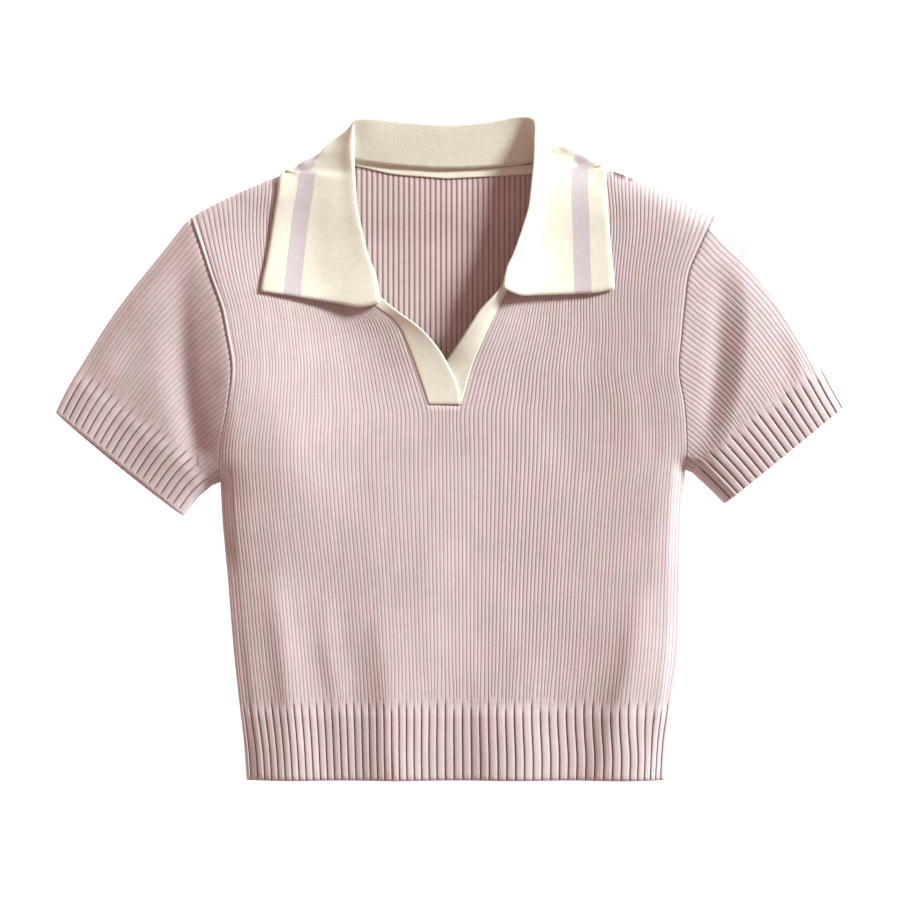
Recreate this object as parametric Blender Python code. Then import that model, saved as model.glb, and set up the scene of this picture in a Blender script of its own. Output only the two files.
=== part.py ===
"""A cropped rib-knit polo shirt, laid out flat on its back.

Tables and sizes are in millimetres and the meshes in metres. +Z is up, the hem points to -Y, and z = 0 is the
surface that the shirt lies on. "Left" is the -X side. Every piece is a wall of cloth: a fine grid of points
outside, which the ribs raise, over a coarse plain grid inside.
"""

import bpy
import numpy as np

MM = 0.001

# Cloth
WALL = 2.0
LOWER_WALL = 1.95
BAND_WALL = 2.4
COLLAR_WALL = 1.7
PLACKET_WALL = 1.6
TAPE_WALL = 1.0
SEAM = 0.35
CUFF_SEAM = 0.5
EDGE_INSET = 3.0
LAYER_GAP = 0.3
RIB_RISE = 0.7
BAND_RIB_RISE = 0.9
INNER_RIB_RISE = 0.5

# Rib counts
RIBS_LEFT, RIBS_MIDDLE, RIBS_RIGHT = 56, 8, 60
SLEEVE_RIBS = 44
HEM_RIBS = 54
CUFF_RIBS = {"left": 21, "right": 20}
NECK_RIBS = 36
RIB_STEPS = 2
BAND_RIB_STEPS = 3
PANEL_CELL = 4
BACK_CELL = 8
BACK_SIDE_CELLS = 14
SLEEVE_ROWS = (0.0, 0.1, 0.2, 0.32, 0.48, 0.7, 1.0)
CUFF_ROWS = (0.0, 0.5, 1.0)
PLACKET_COLUMNS = (0.0, 0.33, 0.67, 1.0)

# How the top layer stands over the one below
PUFF = 2.2
PUFF_REACH = 25.0
NECK_RISE = 6.5
NECK_RISE_REACH = 22.0
NECK_RISE_FROM = (45.0, 125.0)
NECK_RISE_DROP = (205.0, 243.0, 0.75)
LEAF_LIFT = 2.4
LEAF_EDGE = {"middle": 166.0, "rise": 14.0, "half_width": 132.0, "ease": 16.0}
LIFT_EASE = 0.5
FAN_AT_SHOULDER = 0.6

# Front panel below the neck slit: height up the shirt, then the side edges there.
LOWER_ROWS = [  # y, left side x, right side x
    (-207.1, -172.6, 182.0),
    (-165.0, -177.1, 187.0),
    (-110.0, -181.6, 188.7),
    (-40.0, -187.3, 190.6),
    (2.0, -187.5, 193.3),
    (36.5, -180.8, 191.1),
]
# Front panel beside the slit and the neck, up to the shoulder line.
UPPER_ROWS = [  # left armhole, left slit or neck edge, right slit or neck edge, right armhole
    ((-177.6, 68.0), (-28.0, 70.0), (18.9, 70.0), (186.4, 66.0)),
    ((-181.5, 93.0), (-41.0, 103.0), (33.0, 103.0), (188.6, 93.0)),
    ((-186.0, 115.0), (-55.0, 117.0), (43.5, 124.5), (191.0, 118.0)),
    ((-195.0, 140.0), (-73.0, 152.0), (62.5, 155.0), (195.0, 146.0)),
    ((-203.5, 165.0), (-84.0, 200.0), (74.5, 200.0), (204.0, 167.0)),
    ((-212.4, 189.8), (-82.0, 240.0), (73.8, 247.0), (215.9, 192.3)),
]
SLIT_END = ((-17.0, 36.5), (9.0, 36.5))
HEM_TOP_MIDDLE = ((-12.5, -207.1), (10.4, -207.1))
# How far the shoulder bows up from a straight line to the neck point. It dips under the collar.
SHOULDER_RISE = {  # share of the way from the armhole, rise
    "left": [
        (0.0, 0.0), (0.05, 1.9), (0.12, 3.6), (0.21, 5.0), (0.34, 6.0), (0.47, 6.6), (0.555, 6.3),
        (0.59, 1.8), (0.66, 1.6), (0.8, 1.6), (1.0, 0.0),
    ],
    "right": [
        (0.0, 0.0), (0.05, 0.7), (0.12, 1.7), (0.2, 2.9), (0.3, 3.5), (0.4, 4.1), (0.5, 4.4), (0.59, 4.1),
        (0.625, 0.2), (0.68, 0.2), (0.8, 0.4), (1.0, 0.0),
    ],
}

HEM_ROWS = [  # y, left x, right x
    (-207.45, -172.6, 182.0),
    (-238.2, -168.9, 177.9),
    (-270.2, -166.5, 175.9),
]
BACK_NECK = [  # x, y of the back neckline
    (-82.0, 240.0),
    (-76.0, 236.9),
    (-40.0, 232.3),
    (-2.5, 229.7),
    (32.0, 231.2),
    (66.8, 234.2),
    (73.8, 247.0),
]

# Sleeves: silhouette over the shoulder, line where the cuff starts, and cuff outline.
SLEEVES = {
    "left": {
        "underarm": (-187.3, -26.0),
        "over": [
            (-212.4, 189.8), (-216.6, 186.0), (-221.4, 180.0), (-231.2, 167.4), (-241.1, 155.0),
            (-260.8, 130.8), (-278.8, 106.2), (-294.4, 81.6), (-303.4, 66.8),
        ],
        "cuff_line": [(-303.4, 66.8), (-271.4, 42.0), (-244.4, 21.1), (-214.8, -1.9), (-195.0, -29.0)],
        "cuff_over": [(-303.4, 66.8), (-313.0, 51.0), (-323.1, 30.8)],
        "cuff_under": [(-195.0, -29.0), (-206.0, -38.5), (-218.1, -54.2)],
    },
    "right": {
        "underarm": (192.1, -16.0),
        "over": [
            (215.9, 192.3), (220.2, 188.0), (226.3, 180.4), (238.6, 168.2), (250.9, 155.4),
            (271.4, 130.8), (287.8, 106.2), (302.6, 81.6), (307.9, 71.0),
        ],
        "cuff_line": [(307.9, 71.0), (281.0, 52.3), (256.9, 33.9), (205.2, -8.9), (198.4, -18.5)],
        "cuff_over": [(307.9, 71.0), (316.5, 54.0), (325.5, 37.9)],
        "cuff_under": [(198.4, -18.5), (213.0, -32.0), (225.1, -44.1)],
    },
}

# Folds of the top layer: a row for each stretch. Width is the half width and height is up.
FOLDS = [  # start x, y, end x, y, width, height
    (-132.0, -95.0, -112.0, -215.0, 9.0, 3.0),
    (-99.0, -150.0, -93.0, -262.0, 7.0, -1.2),
    (-149.0, -137.0, -148.0, -262.0, 7.0, -1.4),
    (-62.0, -150.0, -66.0, -262.0, 8.0, -1.0),
    (152.0, -127.0, 114.0, -264.0, 7.0, -1.6),
    (166.0, -130.0, 140.0, -250.0, 9.0, 2.4),
    (137.0, -150.0, 98.0, -262.0, 9.0, 1.6),
    (-199.0, 158.0, -177.0, 80.0, 9.0, 6.0),
    (-177.0, 80.0, -187.0, -14.0, 9.0, 6.5),
    (-216.0, 166.0, -205.0, 57.0, 9.0, -2.2),
    (-205.0, 57.0, -198.0, -20.0, 8.0, -2.2),
    (-236.0, 140.0, -222.0, 40.0, 13.0, 3.6),
    (-262.0, 112.0, -252.0, 62.0, 9.0, -1.6),
    (214.0, 176.0, 190.0, 96.0, 9.0, 5.5),
    (190.0, 96.0, 191.0, 24.0, 9.0, 5.0),
    (230.0, 125.0, 216.0, 26.0, 8.0, -2.2),
    (247.0, 125.0, 245.0, 48.0, 11.0, 4.2),
    (271.0, 92.0, 276.0, 56.0, 8.0, -1.6),
]

# Collar: one row for each section from the left front end, round the neck, to the right front end. Before the
# turn the leaf lies on the front; from the turn on it runs below the back. The turn's column is its place in
# the section, and 0 where the whole leaf stays on the front.
LEAF_STEPS = 6
COLLAR = [  # seam x, y, z, fold x, y, z, turn column, turn x, y, z, edge x, y, z
    (-55.5, 120.8, 13.2, -54.6, 119.0, 19.0, 0, 0.0, 0.0, 0.0, -154.3, 128.9, 0.0),
    (-63.0, 137.0, 12.8, -60.8, 141.0, 21.5, 0, 0.0, 0.0, 0.0, -152.8, 139.5, 0.0),
    (-71.5, 154.0, 12.5, -67.0, 158.0, 23.5, 0, 0.0, 0.0, 0.0, -150.2, 152.0, 0.0),
    (-76.2, 172.0, 12.5, -71.0, 174.0, 25.0, 0, 0.0, 0.0, 0.0, -147.2, 170.0, 0.0),
    (-82.0, 196.0, 12.0, -75.9, 196.0, 26.0, 0, 0.0, 0.0, 0.0, -143.6, 194.0, 0.0),
    (-81.8, 210.0, 11.0, -77.2, 210.0, 26.0, 0, 0.0, 0.0, 0.0, -140.8, 210.0, 0.0),
    (-81.6, 220.0, 10.0, -78.0, 221.0, 26.0, 0, 0.0, 0.0, 0.0, -138.4, 225.8, 8.9),
    (-81.3, 226.0, 9.6, -78.6, 228.0, 26.0, 5, -134.2, 228.4, 4.6, -132.5, 223.6, 0.9),
    (-80.8, 233.0, 8.8, -79.2, 238.0, 25.5, 4, -120.5, 234.3, 5.0, -121.5, 213.5, 0.9),
    (-80.3, 240.0, 8.0, -79.5, 249.0, 24.5, 3, -104.0, 242.8, 5.0, -111.0, 209.0, 0.9),
    (-78.4, 243.0, 7.4, -78.5, 266.5, 21.0, 3, -88.0, 255.4, 4.0, -96.0, 206.0, 0.9),
    (-68.0, 239.0, 5.6, -66.0, 269.6, 17.5, 3, -68.5, 256.0, 1.7, -72.0, 205.0, 0.9),
    (-36.0, 234.2, 4.4, -35.0, 266.8, 15.0, 3, -36.0, 251.0, 1.5, -36.0, 204.5, 0.9),
    (-3.0, 231.6, 4.2, -3.0, 264.8, 14.0, 3, -3.0, 249.0, 1.5, -3.0, 205.0, 0.9),
    (30.0, 233.2, 4.4, 29.0, 266.6, 15.0, 3, 30.0, 251.0, 1.5, 30.0, 205.0, 0.9),
    (60.0, 235.4, 6.0, 57.0, 271.0, 18.0, 3, 60.0, 257.0, 1.7, 63.0, 206.0, 0.9),
    (70.0, 243.4, 7.4, 68.5, 267.5, 21.0, 3, 79.0, 257.6, 4.0, 86.0, 208.0, 0.9),
    (72.2, 247.0, 8.0, 69.0, 251.0, 24.5, 3, 95.5, 248.2, 5.0, 101.0, 213.0, 0.9),
    (72.8, 240.0, 8.8, 68.8, 241.0, 25.5, 4, 110.5, 240.8, 5.0, 112.0, 217.5, 0.9),
    (72.8, 231.0, 9.6, 68.0, 230.0, 26.0, 5, 123.6, 233.3, 4.7, 122.5, 228.3, 0.9),
    (72.8, 222.0, 10.0, 67.0, 221.0, 26.0, 0, 0.0, 0.0, 0.0, 127.8, 231.2, 8.9),
    (72.8, 211.0, 11.0, 65.9, 210.0, 26.0, 0, 0.0, 0.0, 0.0, 128.0, 216.0, 0.0),
    (72.6, 197.0, 12.0, 64.3, 197.0, 26.0, 0, 0.0, 0.0, 0.0, 128.8, 197.0, 0.0),
    (65.4, 172.0, 12.5, 57.0, 173.0, 25.0, 0, 0.0, 0.0, 0.0, 131.0, 173.0, 0.0),
    (60.0, 156.0, 12.5, 51.5, 158.0, 23.5, 0, 0.0, 0.0, 0.0, 132.4, 157.0, 0.0),
    (53.0, 143.0, 12.5, 46.5, 147.0, 21.5, 0, 0.0, 0.0, 0.0, 133.8, 144.0, 0.0),
    (46.0, 131.0, 13.0, 43.4, 130.5, 19.0, 0, 0.0, 0.0, 0.0, 134.5, 131.6, 0.0),
]
FRONT_DIPS = {"left": (6.5, 1.2), "right": (5.2, 0.25)}
FOLD_REACH = 6.0
FOLD_STEPS = 4
LEAF_CLEARANCE = 0.8
LEAF_BULGE = 0.12
WRAP_DEPTH = 3.2
DIP_START = 0.12
FRONT_END_ROWS = 1.5

# Plackets: a row for each section, from the bottom up.
OVER_PLACKET = [  # seam x, y, free edge x, y, z
    (-16.4, 37.0, 8.2, 37.0, 7.8),
    (-19.2, 46.0, 8.0, 46.0, 8.2),
    (-26.9, 70.0, -1.5, 70.0, 11.0),
    (-32.2, 85.5, -10.5, 84.5, 14.0),
    (-39.2, 103.0, -26.5, 101.5, 18.0),
    (-45.4, 110.0, -39.0, 111.5, 20.5),
    (-52.0, 115.8, -51.0, 120.4, 20.5),
]
UNDER_PLACKET = [  # seam x, y, free edge x, y, z
    (8.5, 37.0, -15.0, 37.0, 3.5),
    (11.0, 46.0, -13.0, 46.0, 3.7),
    (17.6, 70.0, -5.0, 69.5, 4.8),
    (24.2, 86.5, 5.5, 85.0, 9.5),
    (31.2, 103.0, 16.0, 101.0, 14.5),
    (36.4, 114.0, 24.5, 113.5, 18.0),
    (42.2, 126.0, 40.0, 129.4, 20.0),
]
TAPE_DEPTH = 8.4
TAPE_INSET = 0.6
TAPE_ENDS = (-75.5, 66.0)
TAPE_CELLS = 12

COLOURS = {
    "body": (0.62, 0.49, 0.475, 1.0),
    "band": (0.56, 0.43, 0.42, 1.0),
    "cream": (0.83, 0.77, 0.65, 1.0),
}
ROUGHNESS = 0.9


def smooth_step(low, high, value):
    """0 below low, 1 above high, and smooth between."""
    share = np.clip((np.asarray(value, float) - low) / (high - low), 0.0, 1.0)
    return share * share * (3.0 - 2.0 * share)


def along(points, shares):
    """Points at these shares of a polyline's length."""
    points = np.asarray(points, float)
    steps = np.linalg.norm(np.diff(points, axis=0), axis=1)
    length = np.concatenate([[0.0], np.cumsum(steps)])
    wanted = np.asarray(shares, float) * length[-1]
    return np.stack([np.interp(wanted, length, column) for column in points.T], axis=-1)


def distance_to(lines, x, y):
    """Distance from each (x, y) to the nearest of these polylines."""
    nearest = np.full(np.shape(x), np.inf)
    for line in lines:
        for (x0, y0), (x1, y1) in zip(line[:-1], line[1:]):
            run_x, run_y = x1 - x0, y1 - y0
            share = ((x - x0) * run_x + (y - y0) * run_y) / (run_x**2 + run_y**2)
            share = np.clip(share, 0.0, 1.0)
            nearest = np.minimum(nearest, np.hypot(x - x0 - share * run_x, y - y0 - share * run_y))
    return nearest


def body_outline():
    """The edges where the top layer comes down on the one below, as polylines."""
    lines = []
    for side, column in (("left", 1), ("right", 2)):
        shape = SLEEVES[side]
        rows = [(row[column], row[0]) for row in LOWER_ROWS if row[0] < shape["underarm"][1]]
        hem = [(row[column], row[0]) for row in reversed(HEM_ROWS)]
        lines.append(hem + rows + [shape["underarm"]] + shape["cuff_under"])
        lines.append(shape["cuff_over"][::-1] + shape["over"][::-1][1:])
        lines.append(shoulder_line(side).tolist())
    return lines


def shoulder_rise(side, share):
    """How far the shoulder bows up at this share of the way from the armhole."""
    return np.interp(share, *np.array(SHOULDER_RISE[side]).T)


def shoulder_line(side, count=33):
    """The shoulder from the armhole to the neck point."""
    outer, inner = (0, 1) if side == "left" else (3, 2)
    start, end = np.array(UPPER_ROWS[-1][outer]), np.array(UPPER_ROWS[-1][inner])
    share = np.linspace(0.0, 1.0, count)[:, None]
    line = start + (end - start) * share
    line[:, 1] += shoulder_rise(side, share[:, 0])
    return line


def neck_edges():
    """The slit's and the neck's edge on each side, from the slit's end up."""
    left = [SLIT_END[0]] + [row[1] for row in UPPER_ROWS]
    right = [SLIT_END[1]] + [row[2] for row in UPPER_ROWS]
    return [left, right]


def leaf_lift(x, y):
    """How far the body is raised by the collar's leaf that lies below the back."""
    edge = LEAF_EDGE["middle"] + LEAF_EDGE["rise"] * (np.abs(x) / LEAF_EDGE["half_width"]) ** 3
    return LEAF_LIFT * smooth_step(edge, edge + LEAF_EDGE["ease"], y)


def fold_height(x, y):
    """The folds' height at (x, y): the highest ridge there, less the deepest valley."""
    ridge, valley = np.zeros(np.shape(x)), np.zeros(np.shape(x))
    for x0, y0, x1, y1, width, rise in FOLDS:
        run_x, run_y = x1 - x0, y1 - y0
        share = ((x - x0) * run_x + (y - y0) * run_y) / (run_x**2 + run_y**2)
        inside = np.clip(share, 0.0, 1.0)
        across = np.hypot(x - x0 - inside * run_x, y - y0 - inside * run_y)
        height = rise * np.exp(-((across / width) ** 2))
        ridge, valley = np.maximum(ridge, height), np.minimum(valley, height)
    return ridge + valley


def top_layer(x, y):
    """Height of the underside of the top layer: the front, the sleeves' upper half and the hem."""
    edge = smooth_step(0.0, PUFF_REACH, distance_to(OUTLINE, x, y))
    near_neck = np.exp(-((distance_to(NECK_EDGES, x, y) / NECK_RISE_REACH) ** 2))
    low, high, drop = NECK_RISE_DROP
    up_the_neck = smooth_step(*NECK_RISE_FROM, y) * (1.0 - drop * smooth_step(low, high, y))
    raised = edge * (PUFF + fold_height(x, y)) + NECK_RISE * near_neck * up_the_neck
    lift = leaf_lift(x, y)
    return WALL + LAYER_GAP + lift + LIFT_EASE * smooth_step(0.0, 1.0, lift) + np.maximum(raised, 0.0)


def rib_profile(count, steps):
    """Rise of each column from 0 in the groove to 1: a ridge of two columns, or a broad one of three."""
    one = {RIB_STEPS: [0.0, 1.0], BAND_RIB_STEPS: [0.0, 1.0, 1.0]}[steps]
    return np.array(one * count + [0.0])


def spread_over_cells(values, breaks):
    """Values at the coarse columns, spread evenly to every fine column between them."""
    fine = np.arange(breaks[-1] + 1)
    return np.stack([np.interp(fine, breaks, row) for row in values])


def material(name, colour):
    """A plain cloth material of this colour."""
    made = bpy.data.materials.new(name)
    made.use_nodes = True
    shader = made.node_tree.nodes["Principled BSDF"]
    shader.inputs["Base Color"].default_value = COLOURS[colour]
    shader.inputs["Roughness"].default_value = ROUGHNESS
    shader.inputs["Metallic"].default_value = 0.0
    return made


class Wall:
    """A wall of cloth between a fine outer grid and a coarse inner one, both rows by columns of points in mm.

    Breaks are the fine columns that the coarse grid shares. A cell is the stretch between two breaks and two
    rows; missing cells are left out, plain rows use the coarse columns alone, and a closed wall is a tube.
    """

    def __init__(self, outer, inner, breaks, missing=(), plain_rows=(), closed=False, mirrored_at=0):
        self.outer, self.inner = np.asarray(outer, float), np.asarray(inner, float)
        self.breaks, self.closed, self.mirrored_at = list(breaks), closed, mirrored_at
        self.missing, self.plain_rows = set(missing), set(plain_rows)
        self.rows, self.cells = len(self.outer), len(self.breaks) - 1
        self.index, self.points, self.faces = {}, [], []

    def point(self, grid, row, column):
        """The number of this grid point among the mesh's points."""
        if self.closed and grid == "inner":
            column %= self.cells
        if self.closed and grid == "outer":
            column %= self.breaks[-1]
        key = (grid, row, column)
        if key not in self.index:
            self.index[key] = len(self.points)
            self.points.append((self.outer if grid == "outer" else self.inner)[row, column])
        return self.index[key]

    def strip(self, row, cell):
        """The outer points of a cell along one row."""
        first, last = self.breaks[cell], self.breaks[cell + 1]
        step = last - first if row in self.plain_rows else 1
        return [self.point("outer", row, column) for column in range(first, last + 1, step)]

    def there(self, row, cell):
        """Whether the cell exists."""
        if self.closed:
            cell %= self.cells
        inside = 0 <= row < self.rows - 1 and 0 <= cell < self.cells
        return inside and (row, cell) not in self.missing

    def add_quad(self, row, a, b, c, d):
        """A four-sided face, cut in two the other way in the rows before the one where the halves meet."""
        if row < self.mirrored_at:
            self.faces += [(a, b, d), (b, c, d)]
        else:
            self.faces += [(a, b, c), (a, c, d)]

    def add_cell(self, row, cell):
        """The outer and inner faces of a cell, and a face along each side that has no neighbour."""
        low, high = self.strip(row, cell), self.strip(row + 1, cell)
        inner = [self.point("inner", row + up, cell + over) for up, over in ((0, 0), (0, 1), (1, 1), (1, 0))]
        if len(low) == len(high):
            for i in range(len(low) - 1):
                self.add_quad(row, low[i], low[i + 1], high[i + 1], high[i])
        else:
            self.faces.append(tuple(low + high[::-1]))
        self.add_quad(row, inner[0], inner[3], inner[2], inner[1])
        if not self.there(row - 1, cell):
            self.faces.append(tuple([inner[0], inner[1]] + low[::-1]))
        if not self.there(row + 1, cell):
            self.faces.append(tuple([inner[2], inner[3]] + high))
        if not self.there(row, cell - 1):
            self.faces.append((low[0], high[0], inner[3], inner[0]))
        if not self.there(row, cell + 1):
            self.faces.append((high[-1], low[-1], inner[1], inner[2]))

    def build(self, name, colour):
        """The finished object."""
        for row in range(self.rows - 1):
            for cell in range(self.cells):
                if self.there(row, cell):
                    self.add_cell(row, cell)
        mesh = bpy.data.meshes.new(name)
        mesh.from_pydata([tuple(point * MM) for point in self.points], [], self.faces)
        made = bpy.data.objects.new(name, mesh)
        mesh.materials.append(material(name + "_cloth", colour))
        SHIRT.objects.link(made)
        return made


def lift_plan(plan, height):
    """Plan points (x, y) with this height as their z."""
    return np.concatenate([plan, np.asarray(height, float)[..., None]], axis=-1)


def body_rows():
    """For each row of the front: the four edge points that its three groups of ribs run between."""
    rows = []
    low, high = LOWER_ROWS[0][0], LOWER_ROWS[-1][0]
    for y, left, right in LOWER_ROWS:
        share = (y - low) / (high - low)
        middle = [np.array(a) + (np.array(b) - a) * share for a, b in zip(HEM_TOP_MIDDLE, SLIT_END)]
        rows.append((np.array((left, y)), middle[0], middle[1], np.array((right, y))))
    rows += [tuple(np.array(point) for point in row) for row in UPPER_ROWS]
    return rows


def front_plan():
    """Plan points of every fine column of the front, row by row, and the first row beside the slit."""
    rows, lower = body_rows(), len(LOWER_ROWS)
    plan = []
    for j, (left, slit_left, slit_right, right) in enumerate(rows):
        fan = FAN_AT_SHOULDER * max(0.0, (j - lower + 1) / len(UPPER_ROWS))
        groups = []
        for start, end, ribs in ((left, slit_left, RIBS_LEFT), (right, slit_right, RIBS_RIGHT)):
            share = np.linspace(0.0, 1.0, ribs * RIB_STEPS + 1)
            share = (share + fan * share * (1.0 - share))[:, None]
            groups.append(start + (end - start) * share)
        if j == len(rows) - 1:
            for group, side in zip(groups, ("left", "right")):
                share = (group[:, 0] - group[0, 0]) / (group[-1, 0] - group[0, 0])
                group[:, 1] += shoulder_rise(side, share)
        share = np.linspace(0.0, 1.0, RIBS_MIDDLE * RIB_STEPS + 1)[1:-1, None]
        middle = slit_left + (slit_right - slit_left) * share
        plan.append(np.concatenate([groups[0], middle, groups[1][::-1]]))
    return np.array(plan), lower - 1


def build_front():
    """The front panel, with a fine rib on every second column and a slit down from the neck."""
    plan, slit_row = front_plan()
    cell_steps = PANEL_CELL
    breaks = np.arange(0, plan.shape[1], cell_steps)
    coarse = plan[:, breaks]
    under = top_layer(coarse[..., 0], coarse[..., 1])
    base = spread_over_cells(under, breaks)
    ribs = RIB_RISE * rib_profile(RIBS_LEFT + RIBS_MIDDLE + RIBS_RIGHT, RIB_STEPS)
    first = RIBS_LEFT * RIB_STEPS // cell_steps
    last = first + RIBS_MIDDLE * RIB_STEPS // cell_steps
    missing = [(row, cell) for row in range(slit_row, len(plan) - 1) for cell in range(first, last)]
    wall = Wall(lift_plan(plan, base + WALL + ribs), lift_plan(coarse, under), breaks, missing)
    return wall.build("front_panel", "body")


def back_neck_y(x):
    """Height up the shirt of the back neckline."""
    points = np.array(BACK_NECK)
    return np.interp(x, points[:, 0], points[:, 1])


def back_plan():
    """Plan points of the back's fine columns: plain ones beside the neck and ribbed ones below it."""
    rows, lower = body_rows(), len(LOWER_ROWS)
    neck_left, neck_right = BACK_NECK[0][0], BACK_NECK[-1][0]
    side_cells, neck_steps = BACK_SIDE_CELLS, NECK_RIBS * RIB_STEPS
    top_left, top_right = shoulder_line("left"), shoulder_line("right")
    slit_y = LOWER_ROWS[-1][0]
    plan = []
    for j, (left, _, _, right) in enumerate(rows):
        share = max(0.0, (j - lower + 1) / len(UPPER_ROWS))
        x = np.linspace(neck_left, neck_right, neck_steps + 1)
        y = slit_y + (back_neck_y(x) - slit_y) * share if share else np.full(len(x), left[1])
        neck = np.stack([x, y], axis=-1)
        across = np.linspace(0.0, 1.0, side_cells + 1)[:-1, None]
        if j == len(rows) - 1:
            parts = [along(top_left, across[:, 0]), neck, along(top_right, across[:, 0])[::-1]]
        else:
            parts = [left + (neck[0] - left) * across, neck, (right + (neck[-1] - right) * across)[::-1]]
        plan.append(np.concatenate(parts))
    return np.array(plan), side_cells, neck_steps


def build_back():
    """The back panel: flat below, with its inner ribs raised where they show through the neck."""
    plan, side_cells, neck_steps = back_plan()
    neck_breaks = np.arange(side_cells, side_cells + neck_steps + 1, BACK_CELL)
    breaks = np.concatenate([np.arange(side_cells), neck_breaks, neck_breaks[-1] + 1 + np.arange(side_cells)])
    coarse = plan[:, breaks]
    under = leaf_lift(coarse[..., 0], coarse[..., 1])
    base = spread_over_cells(under, breaks)
    plain = np.zeros(side_cells)
    ribs = np.concatenate([plain, INNER_RIB_RISE * rib_profile(NECK_RIBS, RIB_STEPS), plain])
    first_ribbed = len(LOWER_ROWS)
    ribs = np.where(np.arange(len(plan))[:, None] >= first_ribbed, ribs, 0.0)
    plain_rows = range(first_ribbed - 1)
    wall = Wall(lift_plan(plan, base + WALL + ribs), lift_plan(coarse, under), breaks, plain_rows=plain_rows)
    return wall.build("back_panel", "body")


def band_plan(fine):
    """Plan points of the hem band."""
    share = np.linspace(0.0, 1.0, fine + 1)
    rows = []
    for y, left, right in reversed(HEM_ROWS):
        rows.append(np.stack([left + (right - left) * share, np.full(fine + 1, y)], axis=-1))
    return np.array(rows)


def build_hem_front():
    """The upper half of the waistband, with broad ribs."""
    plan = band_plan(HEM_RIBS * BAND_RIB_STEPS)
    breaks = np.arange(0, plan.shape[1], BAND_RIB_STEPS)
    coarse = plan[:, breaks]
    under = top_layer(coarse[..., 0], coarse[..., 1])
    ribs = BAND_RIB_RISE * rib_profile(HEM_RIBS, BAND_RIB_STEPS)
    outer = lift_plan(plan, spread_over_cells(under, breaks) + BAND_WALL + ribs)
    return Wall(outer, lift_plan(coarse, under), breaks).build("hem_band_front", "band")


def build_hem_back():
    """The lower half of the waistband, which lies flat."""
    plan = band_plan(HEM_RIBS // 3)
    breaks = np.arange(plan.shape[1])
    outer = lift_plan(plan, np.full(plan.shape[:2], WALL))
    inner = lift_plan(plan, np.zeros(plan.shape[:2]))
    return Wall(outer, inner, breaks).build("hem_band_back", "band")


def coons(start, end, over, under, across, down):
    """Plan points filling four edges: start and end run over to under, and the other two run start to end."""
    s, t = across[None, :, None], down[:, None, None]
    first, last = along(start, across)[None], along(end, across)[None]
    one, other = along(over, down)[:, None], along(under, down)[:, None]
    corners = (
        (1 - s) * (1 - t) * np.array(start[0]) + s * (1 - t) * np.array(start[-1])
        + (1 - s) * t * np.array(end[0]) + s * t * np.array(end[-1])
    )
    return (1 - t) * first + t * last + (1 - s) * one + s * other - corners


def inset_points(plan, distance):
    """For each row of plan points, the points this far in from its first and from its last."""
    first = [along(row, distance / np.linalg.norm(np.diff(row, axis=0), axis=1).sum()) for row in plan]
    last = [along(row[::-1], distance / np.linalg.norm(np.diff(row, axis=0), axis=1).sum()) for row in plan]
    return [np.array(first), np.array(last)]


def tube(plan, cell_steps, ribs, wall, name, colour):
    """A tube laid flat: a ribbed upper half and a plain lower half that share their side edges' points."""
    fine = plan.shape[1] - 1
    breaks = np.arange(0, fine + 1, cell_steps)
    coarse = plan[:, breaks]
    cloth = WALL + LAYER_GAP / 2
    under = top_layer(coarse[..., 0], coarse[..., 1])
    base = spread_over_cells(under, breaks)
    outer_top = lift_plan(plan, base + wall + ribs)
    outer_top[:, [0, -1], 2] = cloth
    middle = coarse[:, 1:-1]
    inset, deeper = inset_points(plan, EDGE_INSET), inset_points(plan, 2 * EDGE_INSET)
    below = np.concatenate([inset[1][:, None], middle[:, ::-1], inset[0][:, None]], axis=1)
    outer = np.concatenate([outer_top, lift_plan(below, np.zeros(below.shape[:2]))], axis=1)
    corner = [lift_plan(point, np.full(len(plan), cloth)) for point in inset]
    inner_top = lift_plan(middle, under[:, 1:-1])
    lower = np.concatenate([deeper[1][:, None], middle[:, ::-1], deeper[0][:, None]], axis=1)
    inner_low = lift_plan(lower, np.full(lower.shape[:2], LOWER_WALL))
    inner = np.concatenate([corner[0][:, None], inner_top, corner[1][:, None], inner_low], axis=1)
    loop = np.concatenate([breaks, fine + 1 + np.arange(below.shape[1] + 1)])
    return Wall(outer, inner, loop, closed=True).build(name, colour)


def armhole(side):
    """The armhole edge of the body from the shoulder down to the underarm, moved out by the seam."""
    column, out = (0, -SEAM) if side == "left" else (3, SEAM)
    rows = [row[column] for row in body_rows()]
    underarm = SLEEVES[side]["underarm"]
    points = [tuple(row) for row in rows[::-1] if row[1] > underarm[1]] + [underarm]
    return [(x + out, y) for x, y in points]


def build_sleeve(side):
    """A sleeve from its armhole to the cuff."""
    shape = SLEEVES[side]
    start, end = armhole(side), shape["cuff_line"]
    across = np.linspace(0.0, 1.0, SLEEVE_RIBS * RIB_STEPS + 1)
    over = [start[0]] + shape["over"][1:]
    plan = coons(start, end, over, [start[-1], end[-1]], across, np.array(SLEEVE_ROWS))
    if side == "left":
        plan = plan[:, ::-1]
    ribs = RIB_RISE * rib_profile(SLEEVE_RIBS, RIB_STEPS)
    return tube(plan, PANEL_CELL, ribs, WALL, f"sleeve_{side}", "body")


def moved(line, distance):
    """A polyline moved this far to the left of its own direction."""
    points = np.asarray(line, float)
    step = unit(np.diff(points, axis=0))
    step = unit(np.concatenate([step[:1], step]) + np.concatenate([step, step[-1:]]))
    return [(x - distance * run_y, y + distance * run_x) for (x, y), (run_x, run_y) in zip(points, step)]


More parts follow.
